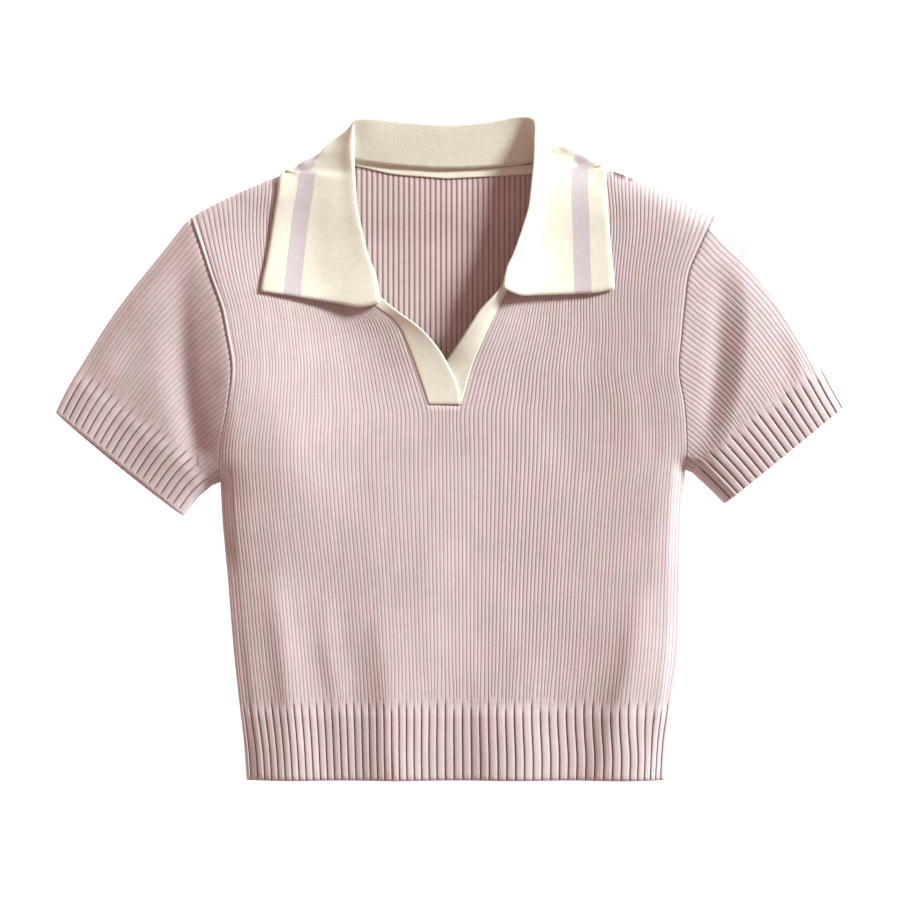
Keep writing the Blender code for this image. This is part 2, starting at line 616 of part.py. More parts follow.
def build_cuff(side):
    """A cuff of broad ribs."""
    shape, count = SLEEVES[side], CUFF_RIBS[side]
    across = np.linspace(0.0, 1.0, count * BAND_RIB_STEPS + 1)
    start = moved(shape["cuff_line"], -CUFF_SEAM if side == "left" else CUFF_SEAM)
    over, under = [start[0]] + shape["cuff_over"][1:], [start[-1]] + shape["cuff_under"][1:]
    plan = coons(start, [over[-1], under[-1]], over, under, across, np.array(CUFF_ROWS))
    if side == "left":
        plan = plan[:, ::-1]
    ribs = BAND_RIB_RISE * rib_profile(count, BAND_RIB_STEPS)
    return tube(plan, BAND_RIB_STEPS, ribs, BAND_WALL, f"cuff_{side}", "band")


def on_front(x, y, half):
    """Height for the middle of a wall of this half thickness that lies on the front."""
    return top_layer(x, y) + WALL + RIB_RISE + LAYER_GAP + half + LEAF_CLEARANCE


def collar_section(row, front_end):
    """The middle of the collar's wall along one section, from the neck seam over the fold to the outer edge.

    Front end is 1 at the leaf's front edge, which dips towards the hem, and 0 away from it.
    """
    seam, fold, turn, edge = np.array(row[0:3]), np.array(row[3:6]), np.array(row[7:10]), np.array(row[10:13])
    column, half = int(row[6]), COLLAR_WALL / 2
    dip, fade = FRONT_DIPS["left" if fold[0] < 0.0 else "right"]
    if column:
        before = [fold + (turn - fold) * share for share in np.linspace(0, 1, column + 1)[1:]]
        for i, point in enumerate(before[:-1]):
            point[2] += LEAF_BULGE * (fold[2] - turn[2]) * np.sin(np.pi * (i + 1) / column)
        away = (edge - turn) * (1, 1, 0)
        under = turn + away * WRAP_DEPTH / max(np.linalg.norm(away), WRAP_DEPTH)
        under[2] = edge[2]
        left_over = LEAF_STEPS - column
        shares = np.linspace(0, 1, left_over) if left_over > 1 else [1.0]
        leaf = before + [under + (edge - under) * share for share in shares]
    else:
        leaf = []
        for share in np.linspace(0, 1, LEAF_STEPS + 1)[1:]:
            point = fold + (edge - fold) * share
            point[1] -= front_end * dip * smooth_step(0.0, DIP_START, share) * (1 - share) ** fade
            floor = on_front(point[0], point[1], half) if edge[2] == 0.0 or share < 1 else edge[2]
            point[2] = floor + (fold[2] - floor) * (1 - share) ** 2
            leaf.append(point)
    to_seam = (seam - fold) / np.linalg.norm(seam - fold)
    to_leaf = (leaf[0] - fold) / np.linalg.norm(leaf[0] - fold)
    reach = min(FOLD_REACH, 0.45 * np.linalg.norm(seam - fold), 0.45 * np.linalg.norm(leaf[0] - fold))
    tip = fold - reach / FOLD_STEPS * (to_seam + to_leaf)
    start, end = tip + reach * to_seam, tip + reach * to_leaf
    bend = np.linspace(0.0, 1.0, FOLD_STEPS + 1)
    arc = [(1 - u) ** 2 * start + 2 * u * (1 - u) * tip + u * u * end for u in bend]
    return np.array([seam, (seam + start) / 2] + arc + leaf)


def unit(vectors):
    """Vectors made one long."""
    return vectors / np.maximum(np.linalg.norm(vectors, axis=-1, keepdims=True), 1e-9)


def grid_normals(points, mirrored_at):
    """Normals of a grid of points: at each, the mean of its triangles' normals, weighted by their corners."""
    rows, columns = points.shape[:2]
    index = np.arange(rows * columns).reshape(rows, columns)
    a, b, c, d = index[:-1, :-1], index[:-1, 1:], index[1:, 1:], index[1:, :-1]
    first = (np.arange(rows - 1) < mirrored_at)[:, None, None]
    triangles = np.concatenate(
        [
            np.where(first, np.stack([a, b, d], -1), np.stack([a, b, c], -1)).reshape(-1, 3),
            np.where(first, np.stack([b, c, d], -1), np.stack([a, c, d], -1)).reshape(-1, 3),
        ]
    )
    flat = points.reshape(-1, 3)
    normals = np.zeros_like(flat)
    for i in range(3):
        corner, one, other = (flat[triangles[:, (i + k) % 3]] for k in range(3))
        side, next_side = unit(one - corner), unit(other - corner)
        angle = np.arccos(np.clip((side * next_side).sum(-1, keepdims=True), -1.0, 1.0))
        np.add.at(normals, triangles[:, i], unit(np.cross(side, next_side)) * angle)
    return unit(normals).reshape(points.shape)


def sheet_wall(middle, thickness, name, colour, mirrored_at=0):
    """A plain wall of even thickness round a grid of middle points."""
    normal = grid_normals(middle, mirrored_at)
    outer, inner = middle + normal * thickness / 2, middle - normal * thickness / 2
    wall = Wall(outer, inner, range(middle.shape[1]), mirrored_at=mirrored_at)
    return wall.build(name, colour)


def build_collar():
    """The collar: stand, fold and leaf in one wall, lying on the front and wrapped round to the back."""
    last = len(COLLAR) - 1
    sections = []
    for i, row in enumerate(COLLAR):
        end = max(0.0, 1.0 - min(i, last - i) / FRONT_END_ROWS)
        sections.append(collar_section(row, end))
    return sheet_wall(np.array(sections), COLLAR_WALL, "collar", "cream", mirrored_at=last // 2)


def build_placket(table, name):
    """A placket strip between its seam on the front and its free edge."""
    rows = []
    for seam_x, seam_y, edge_x, edge_y, edge_z in table:
        seam = np.array((seam_x, seam_y, top_layer(seam_x, seam_y) + WALL / 2))
        edge = np.array((edge_x, edge_y, edge_z))
        rows.append([seam + (edge - seam) * share for share in PLACKET_COLUMNS])
    return sheet_wall(np.array(rows), PLACKET_WALL, name, "cream")


def build_tape():
    """The tape over the back neck seam, lying on the back's inner face."""
    x = np.linspace(*TAPE_ENDS, TAPE_CELLS + 1)
    top = back_neck_y(x) - TAPE_INSET
    plan = np.stack([np.stack([x, top - TAPE_DEPTH], -1), np.stack([x, top], -1)])
    height = leaf_lift(plan[..., 0], plan[..., 1]) + WALL + INNER_RIB_RISE + LAYER_GAP
    wall = Wall(lift_plan(plan, height + TAPE_WALL), lift_plan(plan, height), np.arange(len(x)))
    return wall.build("neck_seam_tape", "cream")


for old in list(bpy.data.objects):
    bpy.data.objects.remove(old, do_unlink=True)
SHIRT = bpy.data.collections.new("polo_shirt")
bpy.context.scene.collection.children.link(SHIRT)
OUTLINE = body_outline()
NECK_EDGES = neck_edges()

build_back()
build_front()
build_hem_back()
build_hem_front()
for arm in ("left", "right"):
    build_sleeve(arm)
    build_cuff(arm)
build_tape()
build_placket(UNDER_PLACKET, "placket_right")
build_placket(OVER_PLACKET, "placket_left")
build_collar()
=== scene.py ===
"""A cropped rib-knit polo shirt, laid flat on its back on a pale floor, as a dressed model.

Tables and sizes are in millimetres and the meshes in metres. +Z is up, the hem points to -Y, and z = 0 is the
surface that the shirt lies on. LEFT is the -X side, which is the left of the picture.
"""

import logging
import math
from dataclasses import dataclass, field
from enum import Enum
from functools import cache
from typing import Iterable, Iterator, Sequence

import bpy
import numpy as np
from bpy.types import Material, Node, NodeSocket, NodeTree, Object
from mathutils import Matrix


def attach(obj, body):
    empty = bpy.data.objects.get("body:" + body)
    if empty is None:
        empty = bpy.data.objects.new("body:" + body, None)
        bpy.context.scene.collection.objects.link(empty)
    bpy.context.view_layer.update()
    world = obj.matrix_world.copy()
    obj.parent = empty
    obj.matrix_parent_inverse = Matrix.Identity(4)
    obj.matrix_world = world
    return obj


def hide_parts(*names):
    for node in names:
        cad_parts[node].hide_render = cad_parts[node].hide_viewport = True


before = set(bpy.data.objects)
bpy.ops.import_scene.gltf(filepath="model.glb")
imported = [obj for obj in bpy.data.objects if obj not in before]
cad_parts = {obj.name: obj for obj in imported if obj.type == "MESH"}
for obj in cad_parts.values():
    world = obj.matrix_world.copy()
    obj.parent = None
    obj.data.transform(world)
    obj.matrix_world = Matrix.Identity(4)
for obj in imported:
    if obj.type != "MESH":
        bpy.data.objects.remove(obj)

LOG = logging.getLogger("polo_shirt")
MM = 0.001
KNIT_UV = "KnitMap"
# Point attribute with each groove's depth share, which sets how strong the painted groove shade is.
GROOVE_SHADE_DEPTH = "GrooveShadeDepth"
SUPPORT_SHARE = 0.03  # how close to an end its support row lies, as a share of the last step
SEAM_WIDTH = 1.3  # half width of the dip in a seam
UNDER_LIFT = 0.8  # how far the underside comes up at the silhouette
SHOULDER_EASE = (0.55, 1.0)  # shares of the way up the armhole over which the shoulder's bow sets in
TINY = 1e-9
FLOAT, VECTOR, COLOUR = "NodeSocketFloat", "NodeSocketVector", "NodeSocketColor"

Array = np.ndarray
Point = tuple[float, float]
Row = tuple[float, ...]
Colour = tuple[float, float, float]


class Side(Enum):
    """The side of the shirt, by the picture's left and right."""

    LEFT = "left"
    RIGHT = "right"


class Face(Enum):
    """The two faces of a cloth wall, as material indexes."""

    RIBBED = 0
    PLAIN = 1


# --- Small tools for curves and heights ---


def smooth_step(low: float | Array, high: float | Array, value: Array) -> Array:
    """Share of the way from low to high, eased at both ends: 0 up to low and 1 from high on."""
    share = np.clip((np.asarray(value, float) - low) / (high - low), 0.0, 1.0)
    return share * share * (3.0 - 2.0 * share)


def round_off(distance: Array, radius: float) -> Array:
    """Rise of a rounded edge, as a quarter circle: 0 at the edge, and 1 a radius in from it."""
    left = 1.0 - np.clip(distance / radius, 0.0, 1.0)
    return np.sqrt(1.0 - left * left)


def bell(distance: Array, width: Array | float) -> Array:
    """Share that falls off on both sides of 0 over this width."""
    return np.exp(-((distance / width) ** 2))


def step_lengths(points: Array, axis: int = 0) -> Array:
    """Distances between the neighbouring points of a line or a grid."""
    return np.linalg.norm(np.diff(points, axis=axis), axis=-1)


def running(steps: Array, axis: int = 0) -> Array:
    """Running total of some steps, from 0."""
    return np.insert(np.cumsum(steps, axis=axis), 0, 0.0, axis=axis)


def lengths_of(plan: Array) -> Array:
    """Mean length from the first row of a grid of points to each row."""
    return running(step_lengths(plan).mean(axis=1))


def along(points: Sequence[Point] | Array, shares: Array) -> Array:
    """Points at these shares of a polyline's length.

    Args:
        points: The polyline.
        shares: Shares from 0 to 1.

    Returns:
        One point for each share.
    """
    points = np.asarray(points, float)
    length = running(step_lengths(points))
    wanted = np.asarray(shares, float) * length[-1]
    return np.stack([np.interp(wanted, length, column) for column in points.T], axis=-1)


def along_rows(plan: Array, shares: Array) -> Array:
    """Points at these shares of the length of each row of a grid."""
    return np.array([along(row, share) for row, share in zip(plan, shares)])


def smooth_through(knots: Array, values: Array, wanted: Array) -> Array:
    """Values on a smooth curve through the rows of a table.

    Args:
        knots: Rising place of each row.
        values: The rows, with any further axes.
        wanted: Places to read.

    Returns:
        One row of values for each wanted place.
    """
    knots, values = np.asarray(knots, float), np.asarray(values, float)
    wanted = np.asarray(wanted, float)
    slopes = np.gradient(values, knots, axis=0)
    span = np.clip(np.searchsorted(knots, wanted, side="right") - 1, 0, len(knots) - 2)
    width = knots[span + 1] - knots[span]
    shape = (-1,) + (1,) * (values.ndim - 1)
    t, width = ((wanted - knots[span]) / width).reshape(shape), width.reshape(shape)
    start = (1 + 2 * t) * (1 - t) ** 2 * values[span] + t * (1 - t) ** 2 * width * slopes[span]
    end = t * t * (3 - 2 * t) * values[span + 1] + t * t * (t - 1) * width * slopes[span + 1]
    return start + end


def smooth_line(points: Sequence[Point], count: int) -> Array:
    """A smooth polyline through a few points.

    Args:
        points: The points it passes through.
        count: How many points to make.

    Returns:
        The points of the smooth line.
    """
    points = np.asarray(points, float)
    knots = running(step_lengths(points) ** 0.5)
    return smooth_through(knots, points, np.linspace(0.0, knots[-1], count))


def ways_to(line: Array, x: Array, y: Array) -> Iterator[tuple[Array, Array, Array]]:
    """The way from each stretch of a polyline to some places.

    Args:
        line: The polyline.
        x: Places across.
        y: Places up the shirt.

    Yields:
        For each stretch, the nearest share along it, and how far each place lies from there across and up.
    """
    for (x0, y0), (x1, y1) in zip(line[:-1, :2], line[1:, :2]):
        run_x, run_y = x1 - x0, y1 - y0
        length = max(run_x**2 + run_y**2, TINY)
        share = np.clip(((x - x0) * run_x + (y - y0) * run_y) / length, 0.0, 1.0)
        yield share, x - x0 - share * run_x, y - y0 - share * run_y


def distance_to(lines: Iterable[Array], x: Array, y: Array) -> Array:
    """Distance from each place to the nearest of some polylines.

    Args:
        lines: The polylines.
        x: Places across.
        y: Places up the shirt.

    Returns:
        The distances.
    """
    nearest = np.full(np.shape(x), np.inf)
    for line in lines:
        for _, off_x, off_y in ways_to(line, x, y):
            nearest = np.minimum(nearest, np.hypot(off_x, off_y))
    return nearest


def link(made: Object) -> None:
    """Put an object into the scene."""
    bpy.context.scene.collection.objects.link(made)


def unit(vectors: Array) -> Array:
    """Vectors made one long."""
    return vectors / np.maximum(np.linalg.norm(vectors, axis=-1, keepdims=True), TINY)


def spaced(count: int, close: int, reach: float, close_at_end: bool = False) -> Array:
    """Rising shares from 0 to 1, of which some close ones cover the first share, or the last one."""
    shares = np.concatenate([np.linspace(0.0, reach, close + 1), np.linspace(reach, 1.0, count - close + 1)[1:]])
    return 1.0 - shares[::-1] if close_at_end else shares


def with_height(plan: Array, height: Array) -> Array:
    """Plan points with this height as their z."""
    return np.concatenate([plan, np.broadcast_to(height, plan.shape[:-1])[..., None]], axis=-1)


def rib_map(plan: Array, steps: int, depth: Array | float = 1.0) -> Array:
    """Knit coordinates of a grid of plan points: the rib's number, the length along it and the groove's depth."""
    parts = [np.arange(plan.shape[1]) / steps, lengths_of(plan)[:, None], depth]
    return np.stack([np.broadcast_to(part, plan.shape[:2]) for part in parts], axis=-1)


# --- The cut of the shirt ---


@dataclass(frozen=True)
class SleeveCut:
    """The outline of one sleeve and its cuff, laid flat."""

    underarm: Point
    over: tuple[Point, ...]
    cuff_line: tuple[Point, ...]
    cuff_over: tuple[Point, ...]
    cuff_under: tuple[Point, ...]


@dataclass(frozen=True)
class ShirtPattern:
    """Outlines of the panels as they lie."""

    lower_rows: tuple[Row, ...] = (  # y, left side x, right side x
        (-207.1, -172.6, 182), (-165, -177.1, 187), (-110, -181.6, 188.7), (-40, -187.3, 190.6),
        (2, -187.5, 193.3), (36.5, -180.8, 191.1),
    )
    upper_rows: tuple[tuple[Point, ...], ...] = (  # left armhole, slit or neck left and right, right armhole
        ((-177.6, 68), (-28, 70), (18.9, 70), (186.4, 66)),
        ((-181.5, 93), (-41, 103), (33, 103), (188.6, 93)),
        ((-186, 115), (-55, 117), (43.5, 124.5), (191, 118)),
        ((-195, 140), (-73, 152), (62.5, 155), (195, 146)),
        ((-203.5, 165), (-84, 200), (74.5, 200), (204, 167)),
        ((-212.4, 189.8), (-82, 240), (73.8, 247), (215.9, 192.3)),
    )
    slit_end: tuple[Point, Point] = ((-17.0, 36.5), (9.0, 36.5))
    hem_top_middle: tuple[Point, Point] = ((-12.5, -207.1), (10.4, -207.1))
    slit_curves: Point = (0.33, -0.28)  # slope of the ribs just below the slit's end, beside its two edges
    slit_curve_reach: float = 12.0
    armhole_rows: tuple[int, int] = (56, 44)  # rows below and above the slit's end, for the lines read from them
    outline_rows: tuple[int, int] = (24, 6)
    neck_rows: tuple[int, int] = (2, 18)
    shoulder_rises: tuple[tuple[Point, ...], ...] = (  # share of the way from the armhole, rise
        (
            (0, 0), (0.05, 1.9), (0.12, 3.6), (0.21, 5), (0.34, 6), (0.47, 6.6), (0.555, 6.3), (0.59, 1.8),
            (0.66, 1.6), (0.8, 1.6), (1, 0),
        ),
        (
            (0, 0), (0.05, 0.7), (0.12, 1.7), (0.2, 2.9), (0.3, 3.5), (0.4, 4.1), (0.5, 4.4), (0.59, 4.1),
            (0.625, 0.2), (0.68, 0.2), (0.8, 0.4), (1, 0),
        ),
    )
    hem_rows: tuple[Row, ...] = (  # y, left x, right x
        (-207.1, -172.6, 182), (-238.2, -168.9, 177.9), (-270.2, -166.5, 175.9),
    )
    back_neck: tuple[Point, ...] = (
        (-82, 240), (-76, 236.9), (-40, 232.3), (-2.5, 229.7), (32, 231.2), (66.8, 234.2), (73.8, 247),
    )
    left_sleeve: SleeveCut = SleeveCut(
        underarm=(-187.3, -26),
        over=(
            (-212.4, 189.8), (-216.6, 186), (-221.4, 180), (-231.2, 167.4), (-241.1, 155), (-260.8, 130.8),
            (-278.8, 106.2), (-294.4, 81.6), (-303.4, 66.8),
        ),
        cuff_line=((-303.4, 66.8), (-271.4, 42), (-244.4, 21.1), (-214.8, -1.9), (-195, -29)),
        cuff_over=((-303.4, 66.8), (-313, 51), (-323.1, 30.8)),
        cuff_under=((-195, -29), (-206, -38.5), (-218.1, -54.2)),
    )
    right_sleeve: SleeveCut = SleeveCut(
        underarm=(192.1, -16),
        over=(
            (215.9, 192.3), (220.2, 188), (226.3, 180.4), (238.6, 168.2), (250.9, 155.4), (271.4, 130.8),
            (287.8, 106.2), (302.6, 81.6), (307.9, 71),
        ),
        cuff_line=((307.9, 71), (281, 52.3), (256.9, 33.9), (205.2, -8.9), (198.4, -18.5)),
        cuff_over=((307.9, 71), (316.5, 54), (325.5, 37.9)),
        cuff_under=((198.4, -18.5), (213, -32), (225.1, -44.1)),
    )
    fans: tuple[Point, ...] = (  # y, how much wider the outer ribs are than the mean ones
        (-207.1, 0), (-160, -0.02), (-110, -0.06), (-50, -0.13), (0, -0.18), (36.5, -0.22), (75, -0.12),
        (115, 0.15), (151, 0.5), (182, 0.85), (250, 0.9),
    )
    seam: float = 0.12
    underarm_clear: Point = (1.0, 2.0)  # how far from the underarm the armhole's and the side's own points stop
    join_depth: float = 8.0  # how far above the hem band the closer rows reach

    def sleeve(self, side: Side) -> SleeveCut:
        """The sleeve's outline on this side."""
        return self.left_sleeve if side is Side.LEFT else self.right_sleeve

    def body_rows(self, lower: int, upper: int, join: int = 0) -> tuple[Array, Array]:
        """Edge points of the body's rows, which follow the slit and the neck above the slit's end.

        Args:
            lower: How many rows below the slit's end.
            upper: How many rows above it.
            join: How many more rows lie close together above the hem band.

        Returns:
            Four points for each row (left edge, slit left, slit right, right edge), and each row's share of the
            way from the slit's end to the shoulder, which is below 0 under the slit.
        """
        table = np.array(self.lower_rows)
        sides = [((left, y), (right, y)) for y, left, right in table]
        sides += [(row[0], row[3]) for row in self.upper_rows]
        first = len(table) - 1
        knots = running(np.abs(np.diff(np.array(sides)[:, :, 1].mean(axis=1))))
        even_from = knots[0] + (self.join_depth if join else 0.0)
        close = np.linspace(knots[0], even_from, join + 1)[:-1]
        low = np.concatenate([close, np.linspace(even_from, knots[first], lower + 1)[:-1]])
        high = np.linspace(knots[first], knots[-1], upper + 1)
        places = np.concatenate([low, high])
        edge = smooth_through(knots, np.array(sides), places)
        end = np.array(self.slit_end)
        below = (low - knots[0]) / (knots[first] - knots[0])
        start = np.array(self.hem_top_middle)
        down = (1.0 - below) * (knots[first] - knots[0])
        curve = np.outer(down * np.exp(-down / self.slit_curve_reach), self.slit_curves)
        middle = start + (end - start) * below[:, None, None]
        middle[..., 0] += curve
        neck = np.array([self.slit_end] + [(row[1], row[2]) for row in self.upper_rows])
        middle = np.concatenate([middle, smooth_through(knots[first:], neck, high)])
        share = np.interp(places, knots[first:], np.linspace(0.0, 1.0, len(neck)), left=-1.0)
        return np.stack([edge[:, 0], middle[:, 0], middle[:, 1], edge[:, 1]], axis=1), share

    def fan(self, y: Array) -> Array:
        """How much wider the outer ribs of the front are than the mean ones, at these heights up the shirt."""
        table = np.array(self.fans)
        return smooth_through(table[:, 0], table[:, 1], np.clip(y, table[0, 0], table[-1, 0]))

    def shoulder_rise(self, side: Side, share: Array) -> Array:
        """How far the shoulder bows up at this share of the way from the armhole: it dips under the collar."""
        table = np.array(self.shoulder_rises[0 if side is Side.LEFT else 1])
        return np.interp(share, table[:, 0], table[:, 1])

    def shoulder_line(self, side: Side, count: int = 33) -> Array:
        """The shoulder from the armhole to the neck point.

        Args:
            side: Which shoulder.
            count: How many points.

        Returns:
            The points.
        """
        outer, inner = (0, 1) if side is Side.LEFT else (3, 2)
        start, end = np.array(self.upper_rows[-1][outer]), np.array(self.upper_rows[-1][inner])
        share = np.linspace(0.0, 1.0, count)[:, None]
        line = start + (end - start) * share
        line[:, 1] += self.shoulder_rise(side, share[:, 0])
        return line

    def armhole(self, side: Side) -> Array:
        """The armhole's edge, moved out by the seam.

        Args:
            side: Which armhole.

        Returns:
            Its points, from the shoulder down to the underarm.
        """
        rows, _ = self.body_rows(*self.armhole_rows)
        column, out = (0, -self.seam) if side is Side.LEFT else (3, self.seam)
        underarm = np.array(self.sleeve(side).underarm)
        edge = rows[::-1, column]
        line = np.concatenate([edge[edge[:, 1] > underarm[1] + self.underarm_clear[0]], underarm[None]])
        return line + (out, 0.0)

    def outline(self) -> list[Array]:
        """The edges where the top layer comes down on the one below.

        Returns:
            The polylines of each side: flank, sleeve and shoulder.
        """
        lines = []
        rows, _ = self.body_rows(*self.outline_rows)
        for side, column in ((Side.LEFT, 0), (Side.RIGHT, 3)):
            cut = self.sleeve(side)
            hem = np.array([(row[1 + column // 3], row[0]) for row in reversed(self.hem_rows)])
            edge = rows[:, column]
            flank = edge[edge[:, 1] < cut.underarm[1] - self.underarm_clear[1]]
            lines.append(np.concatenate([hem, flank, [cut.underarm], smooth_line(cut.cuff_under, 5)]))
            lines.append(np.concatenate([smooth_line(cut.over, 14), smooth_line(cut.cuff_over, 5)[1:]]))
            lines.append(self.shoulder_line(side, 25))
        return lines

    def neck_edges(self) -> list[Array]:
        """The slit's and the neck's edge on each side, from the slit's end up."""
        rows, share = self.body_rows(*self.neck_rows)
        return [rows[share >= 0.0, column] for column in (1, 2)]

    def back_neck_y(self, x: Array) -> Array:
        """Height up the shirt of the back neckline."""
        points = np.array(self.back_neck)
        return np.interp(x, points[:, 0], points[:, 1])


# --- How the shirt lies ---


@dataclass(frozen=True)
class Fold:
    """One soft ridge or trough of the top layer, along a path of its own."""

    left: float
    right: float
    path: tuple[Row, ...]  # x, y, height
    reach: float = 2.6  # widths out to which it counts

    def height(self, x: Array, y: Array) -> Array:
        """Rise of the fold at each place.

        Args:
            x: Places across.
            y: Places up the shirt.

        Returns:
            The rise, which eases off over the left width on one side of the path and the right one on the other.
        """
        line = smooth_line(self.path, 4 * len(self.path))
        far = self.reach * max(self.left, self.right)
        low, high = line[:, :2].min(axis=0) - far, line[:, :2].max(axis=0) + far
        if np.max(x) < low[0] or np.min(x) > high[0] or np.max(y) < low[1] or np.min(y) > high[1]:
            return np.zeros(np.shape(x))
        nearest = np.full(np.shape(x), np.inf)
        rise, side = np.zeros(np.shape(x)), np.zeros(np.shape(x))
        for (share, off_x, off_y), start, end in zip(ways_to(line, x, y), line[:-1, 2], line[1:, 2]):
            distance = np.hypot(off_x, off_y)
            closer = distance < nearest
            nearest = np.where(closer, distance, nearest)
            rise = np.where(closer, start + (end - start) * share, rise)
            side = np.where(closer, off_x, side)
        return rise * bell(nearest, np.where(side < 0.0, self.left, self.right))


ARMHOLE_FOLDS: tuple[Fold, ...] = (
    Fold(28.0, 75.0, (
        (-198, 181.6, 2), (-189, 153.8, 6), (-182, 122.6, 9), (-177, 85.7, 11),
        (-173, 48.8, 12.5), (-172, 16, 12.5), (-172.5, -16.8, 9), (-173.5, -57.8, 3.5),
        (-175, -98.8, 0),
    )),
    Fold(11.0, 9.0, (
        (-215.2, 163.6, 0), (-218.7, 122.6, -1.5), (-217.8, 81.6, -2.5), (-213.6, 40.6, -3.2),
        (-205.4, 3.7, -3),
    )),
    Fold(85.0, 75.0, ((-204, 170, 3), (-188, 100, 8.5), (-180, 30, 8.5), (-180, -40, 3))),
    Fold(54.0, 110.0, (
        (209, 178, 7), (198.8, 147.2, 8.5), (193.7, 114.4, 9), (191, 73.4, 9), (190, 32.4, 8),
        (189.5, -8.6, 5.5), (188, -60, 2.5), (187, -110, 0),
    )),
    Fold(7.0, 8.0, (
        (221.8, 153.8, 0), (219.1, 114.4, -1.2), (217, 73.4, -2), (211.3, 32.4, -1.6), (205.5, 7.8, -0.3),
    )),
)
SLEEVE_FOLDS: tuple[Fold, ...] = (
    Fold(24.0, 13.0, ((-232.6, 158.6, 0), (-243.3, 98, 0.8), (-240, 50.6, 1.8), (-228.7, 10, 1.8), (-214, -25, 0.8))),
    Fold(14.0, 12.0, ((-264, 118, 0), (-258, 90, -0.7), (-252, 58, 0))),
    Fold(9.0, 11.0, ((-287, 92, 0), (-278, 68, 0.6), (-268, 44, 0.3))),
    Fold(14.0, 90.0, (
        (234.2, 160, 0), (243.9, 122.6, 5.5), (243.1, 81.6, 8.5), (236.5, 40.6, 8.5), (225, 3.7, 5.5),
        (216.8, -20.9, 2),
    )),
    Fold(8.0, 14.0, ((272.2, 107.8, 0), (282.9, 85.7, 1.6), (285.4, 61.1, 1.6), (278.8, 40.6, 0.6))),
    Fold(7.0, 7.0, ((298, 86, 0), (303, 66, 0.7), (300, 48, 0.3))),
)
BODY_FOLDS: tuple[Fold, ...] = (
    Fold(10.0, 11.0, (
        (-145, -80.6, 0), (-142, -123.4, 1.6), (-136.1, -164.4, 2.6), (-131.2, -205.4, 2.2), (-127.9, -262.8, 1),
    )),
    Fold(8.0, 10.0, ((-104, -113.4, 0), (-99.4, -164.4, 1.6), (-91.8, -205.4, 1.6), (-86.9, -262.8, 0.8))),
    Fold(9.0, 12.0, ((-60.4, -125, 0), (-56.5, -168, 1), (-52.5, -205.4, 1.2), (-49.2, -262.8, 0.7))),
    Fold(9.0, 12.0, ((24, -180, 0), (29.5, -230, 1.2), (31.2, -266.9, 1.2))),
    Fold(11.0, 14.0, (
        (157, -95, 0), (152.5, -150.4, 2.6), (142.8, -195.4, 3.2), (130, -238.2, 2.4), (120.4, -266.9, 1.4),
    )),
    Fold(6.0, 6.0, ((178, -172, 0), (175, -205, 0.9), (172, -240, 0.5))),
    Fold(6.0, 7.0, ((-168, -120, 0), (-163, -180, 0.7), (-158, -230, 0.9), (-156, -262, 0.6))),
    Fold(24.0, 26.0, ((-130, -120, 0), (-131, -200, 3), (-131, -270, 5.4))),
    Fold(26.0, 26.0, ((-43, -130, 0), (-45, -200, 3.2), (-45, -270, 5.6))),
    Fold(26.0, 26.0, ((52, -140, 0), (53, -205, 3.2), (54, -270, 6))),
    Fold(24.0, 24.0, ((146, -120, 0), (143, -200, 3.2), (140, -270, 5.8))),
    Fold(40.0, 60.0, ((-60, -10, 0), (-54, -80, 3), (-50, -150, 4), (-46, -230, 2))),
    Fold(34.0, 50.0, ((-130, 60, 0), (-136, -60, 1.6), (-138, -150, 1.4), (-130, -250, 0.6))),
    Fold(64.0, 50.0, ((174, 20, 1), (171, -60, 4.4), (167, -150, 5.4), (162, -250, 2))),
    Fold(16.0, 20.0, ((-120, 60, 0), (-128, 0, 0.8), (-136, -60, 0))),
    Fold(20.0, 16.0, ((60, 40, 0), (80, -20, 0.7), (96, -70, 0))),
    Fold(12.0, 14.0, ((-20, -60, 0), (-14, -120, 0.6), (-16, -190, 0.3))),
    Fold(14.0, 12.0, ((140, 90, 0), (147, 30, 0.7), (152, -30, 0))),
)


